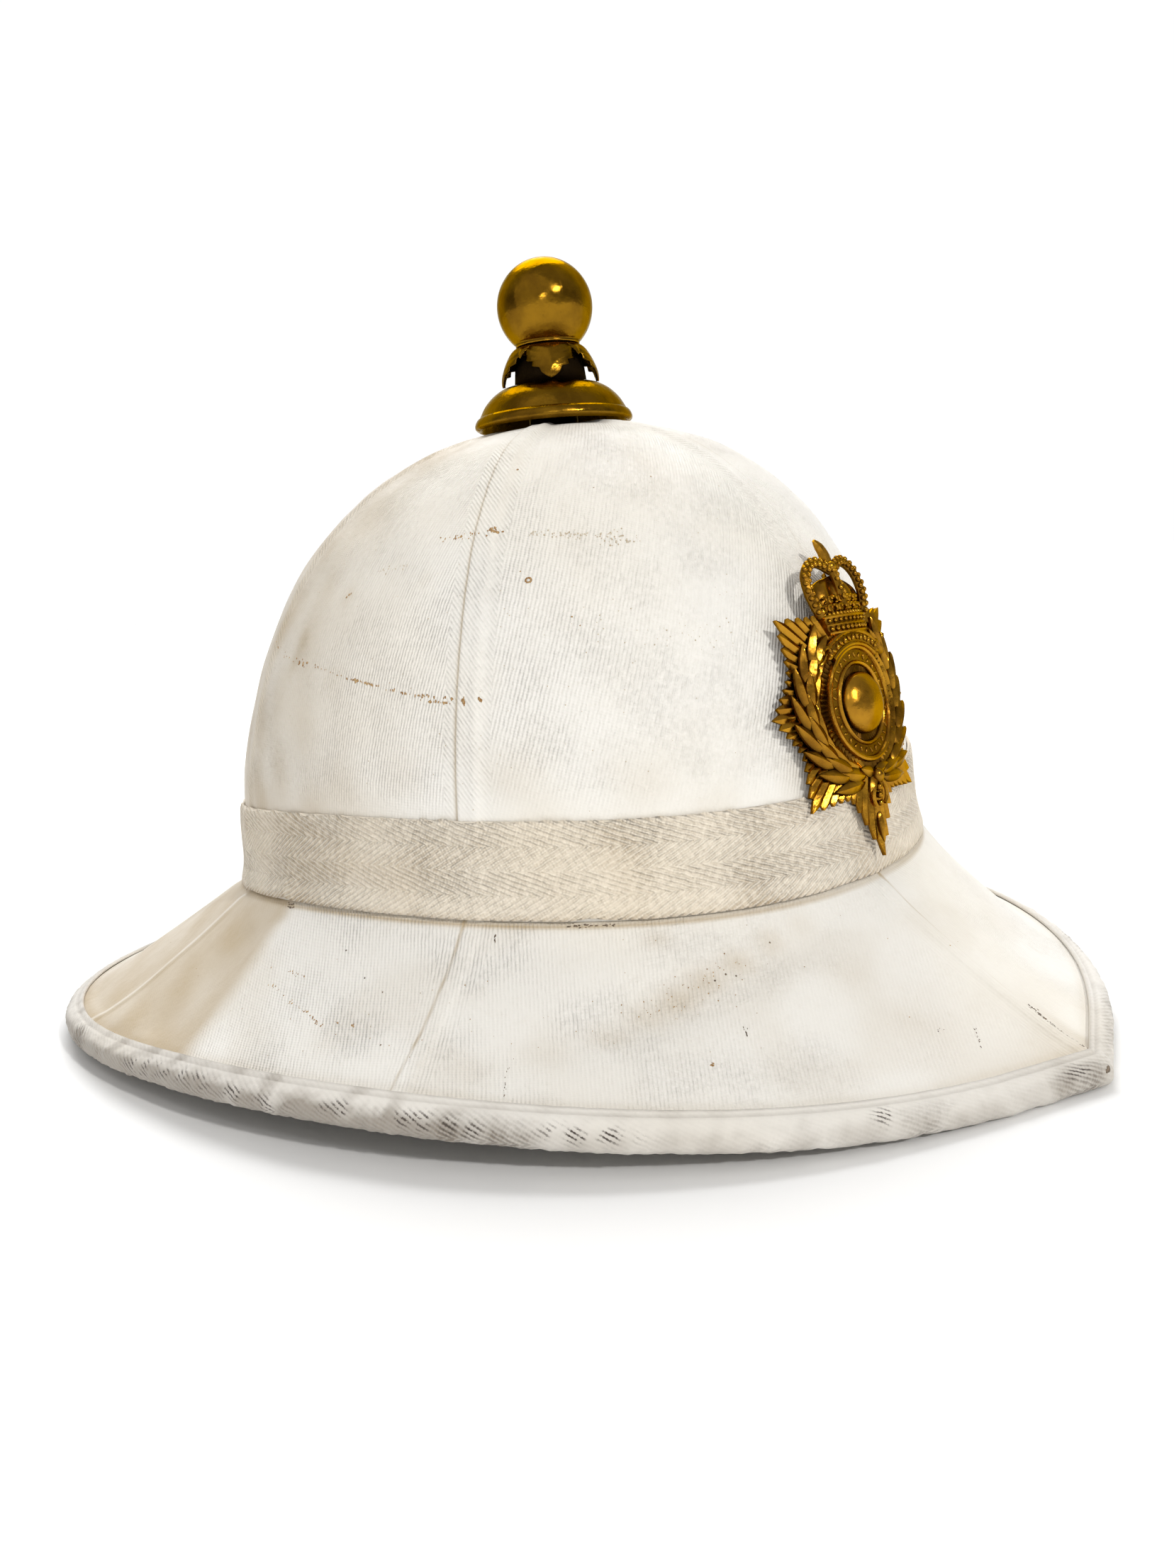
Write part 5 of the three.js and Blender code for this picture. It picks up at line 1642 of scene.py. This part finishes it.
def build_brim_marks(cloth):
    """Painted shadow in the gaps under the band, spots, hairline cracks along the ribs and dotted
    rusty arcs.
    """
    dark = Marks(cloth, 73)
    dark.trails(brim_place, BAND_GAP_SHADOWS)
    for turn, share in BRIM_SPOTS:
        dark.spot(brim_place(turn, share), 0.28)
    dark.trails(brim_place, BRIM_CRACKS)
    dark.piece("brim_cracks_and_gap_shadows", thread, "brim")
    warm = Marks(cloth, 74)
    warm.trails(brim_place, BRIM_RUST)
    warm.piece("brim_rust_marks", rust, "brim")


def build_edge_marks(cloth):
    """Two dark spots at the tip."""
    dark = Marks(cloth, 75)
    tip = brim_place(0.6, 1.0)
    dark.spot(tip + [0.5, -3.0, -0.4], 0.7, 1.3)
    dark.spot(tip + [-0.4, -3.0, -0.9], 0.45, 1.2)
    dark.piece("edge_dark_marks", thread, "brim_binding")


build_crown_marks(build_crown())
build_brim_marks(build_brim())
build_edge_marks(build_binding())
build_band()
build_top()
build_badge()


# Floor, light and camera

FLOOR_REACH = 60.0
FLOOR_SHADES = ((0.875, 0.875, 0.875), (0.885, 0.885, 0.885))
ROOM_AHEAD = (0.728, 0.686)
ROOM_SHADE = (0.145, 0.14, 0.13)
ROOM_WHITE = (1.02, 1.02, 1.02)
SUNS = [
    # name, where it comes from, strength, spread in degrees and colour
    ("key", (-0.16, -0.87, 0.52), 1.4, 3.5, (1.0, 0.985, 0.955)),
    ("left", (-0.9, -0.2, 0.45), 0.6, 90, (1.0, 0.985, 0.96)),
    ("back", (0.5, 0.55, 1.0), 2.2, 45, (0.99, 0.995, 1.0)),
]
SPARK_PLACE = (-0.42, -0.40, 0.40)
SPARK_TARGET = (0, 0, 0.2)
SPARK_SIZE = 0.035
SPARK_POWER = 0.22
CAMERA_LENS = 30.365
CAMERA_PLACE = Vector((-0.32866, -0.32300, 0.14034))
CAMERA_AHEAD = Vector((0.7201, 0.6780, -0.1478)).normalized()
CAMERA_UP = Vector((0.1620, 0.0429, 0.9859))


def build_floor():
    """A wide pale floor, bright enough to melt into the white behind it."""
    mesh = bpy.data.meshes.new("floor")
    signs = ((-1, -1), (1, -1), (1, 1), (-1, 1))
    corners = [(x * FLOOR_REACH, y * FLOOR_REACH, 0.0) for x, y in signs]
    mesh.from_pydata(corners, [], [(0, 1, 2, 3)])
    mesh.polygons.foreach_set("use_smooth", np.ones(1, bool))
    material, tree, shader = node_tree("floor")
    shader.inputs["Roughness"].default_value = 0.9
    shader.inputs["Specular IOR Level"].default_value = 0.1
    tint = mapped(tree, noise(tree, object_place(tree), 3, 2), 0.3, 0.7)
    tree.links.new(blend_colour(tree, tint, *FLOOR_SHADES), shader.inputs["Base Color"])
    mesh.materials.append(material)
    floor = new_object("floor", mesh)
    floor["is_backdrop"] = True


def build_camera():
    data = bpy.data.cameras.new("camera")
    data.sensor_fit = "VERTICAL"
    data.sensor_height = 36
    data.lens = CAMERA_LENS
    data.clip_start = 0.01
    camera = new_object("camera", data)
    right = CAMERA_AHEAD.cross(CAMERA_UP).normalized()
    up = right.cross(CAMERA_AHEAD)
    turn = Matrix((right, up, -CAMERA_AHEAD)).transposed().to_4x4()
    camera.matrix_world = Matrix.Translation(CAMERA_PLACE) @ turn
    bpy.context.scene.camera = camera


def build_light():
    """A room that is white ahead of the camera and dim behind it, three suns and a small spark."""
    world = bpy.data.worlds.new("studio")
    world.use_nodes = True
    tree = world.node_tree
    background = tree.nodes["Background"]
    axes = tree.nodes.new("ShaderNodeSeparateXYZ")
    tree.links.new(tree.nodes.new("ShaderNodeTexCoord").outputs["Generated"], axes.inputs[0])
    ahead = plus(tree, times(tree, axes.outputs[0], ROOM_AHEAD[0]),
                 times(tree, axes.outputs[1], ROOM_AHEAD[1]))
    wall = mapped(tree, ahead, -0.1, 0.72)
    above = mapped(tree, axes.outputs[2], 0.1, 0.9, 0.0, 0.33)
    low = mapped(tree, axes.outputs[2], 0.0, 0.42, 0.45, 0.0)
    share = math(tree, "MAXIMUM", math(tree, "MAXIMUM", wall, above), low)
    room = blend_colour(tree, share, ROOM_SHADE, ROOM_WHITE)
    tree.links.new(room, background.inputs[0])
    background.inputs[1].default_value = 1.0
    bpy.context.scene.world = world
    bpy.context.scene.view_settings.view_transform = "Standard"
    for name, source, power, spread, colour in SUNS:
        data = bpy.data.lights.new(name, "SUN")
        data.energy = power
        data.angle = np.radians(spread)
        data.color = colour
        lamp = new_object(name, data)
        lamp.rotation_euler = Vector(source).to_track_quat("Z", "Y").to_euler()
    data = bpy.data.lights.new("spark", "AREA")
    data.shape = "RECTANGLE"
    data.size = data.size_y = SPARK_SIZE
    data.energy = SPARK_POWER
    lamp = new_object("spark", data)
    lamp.location = SPARK_PLACE
    heading = Vector(SPARK_TARGET) - Vector(SPARK_PLACE)
    lamp.rotation_euler = heading.to_track_quat("-Z", "Y").to_euler()


build_floor()
build_light()
build_camera()

size = {"cad": cad_bounds, "visual": [list(corner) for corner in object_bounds()]}
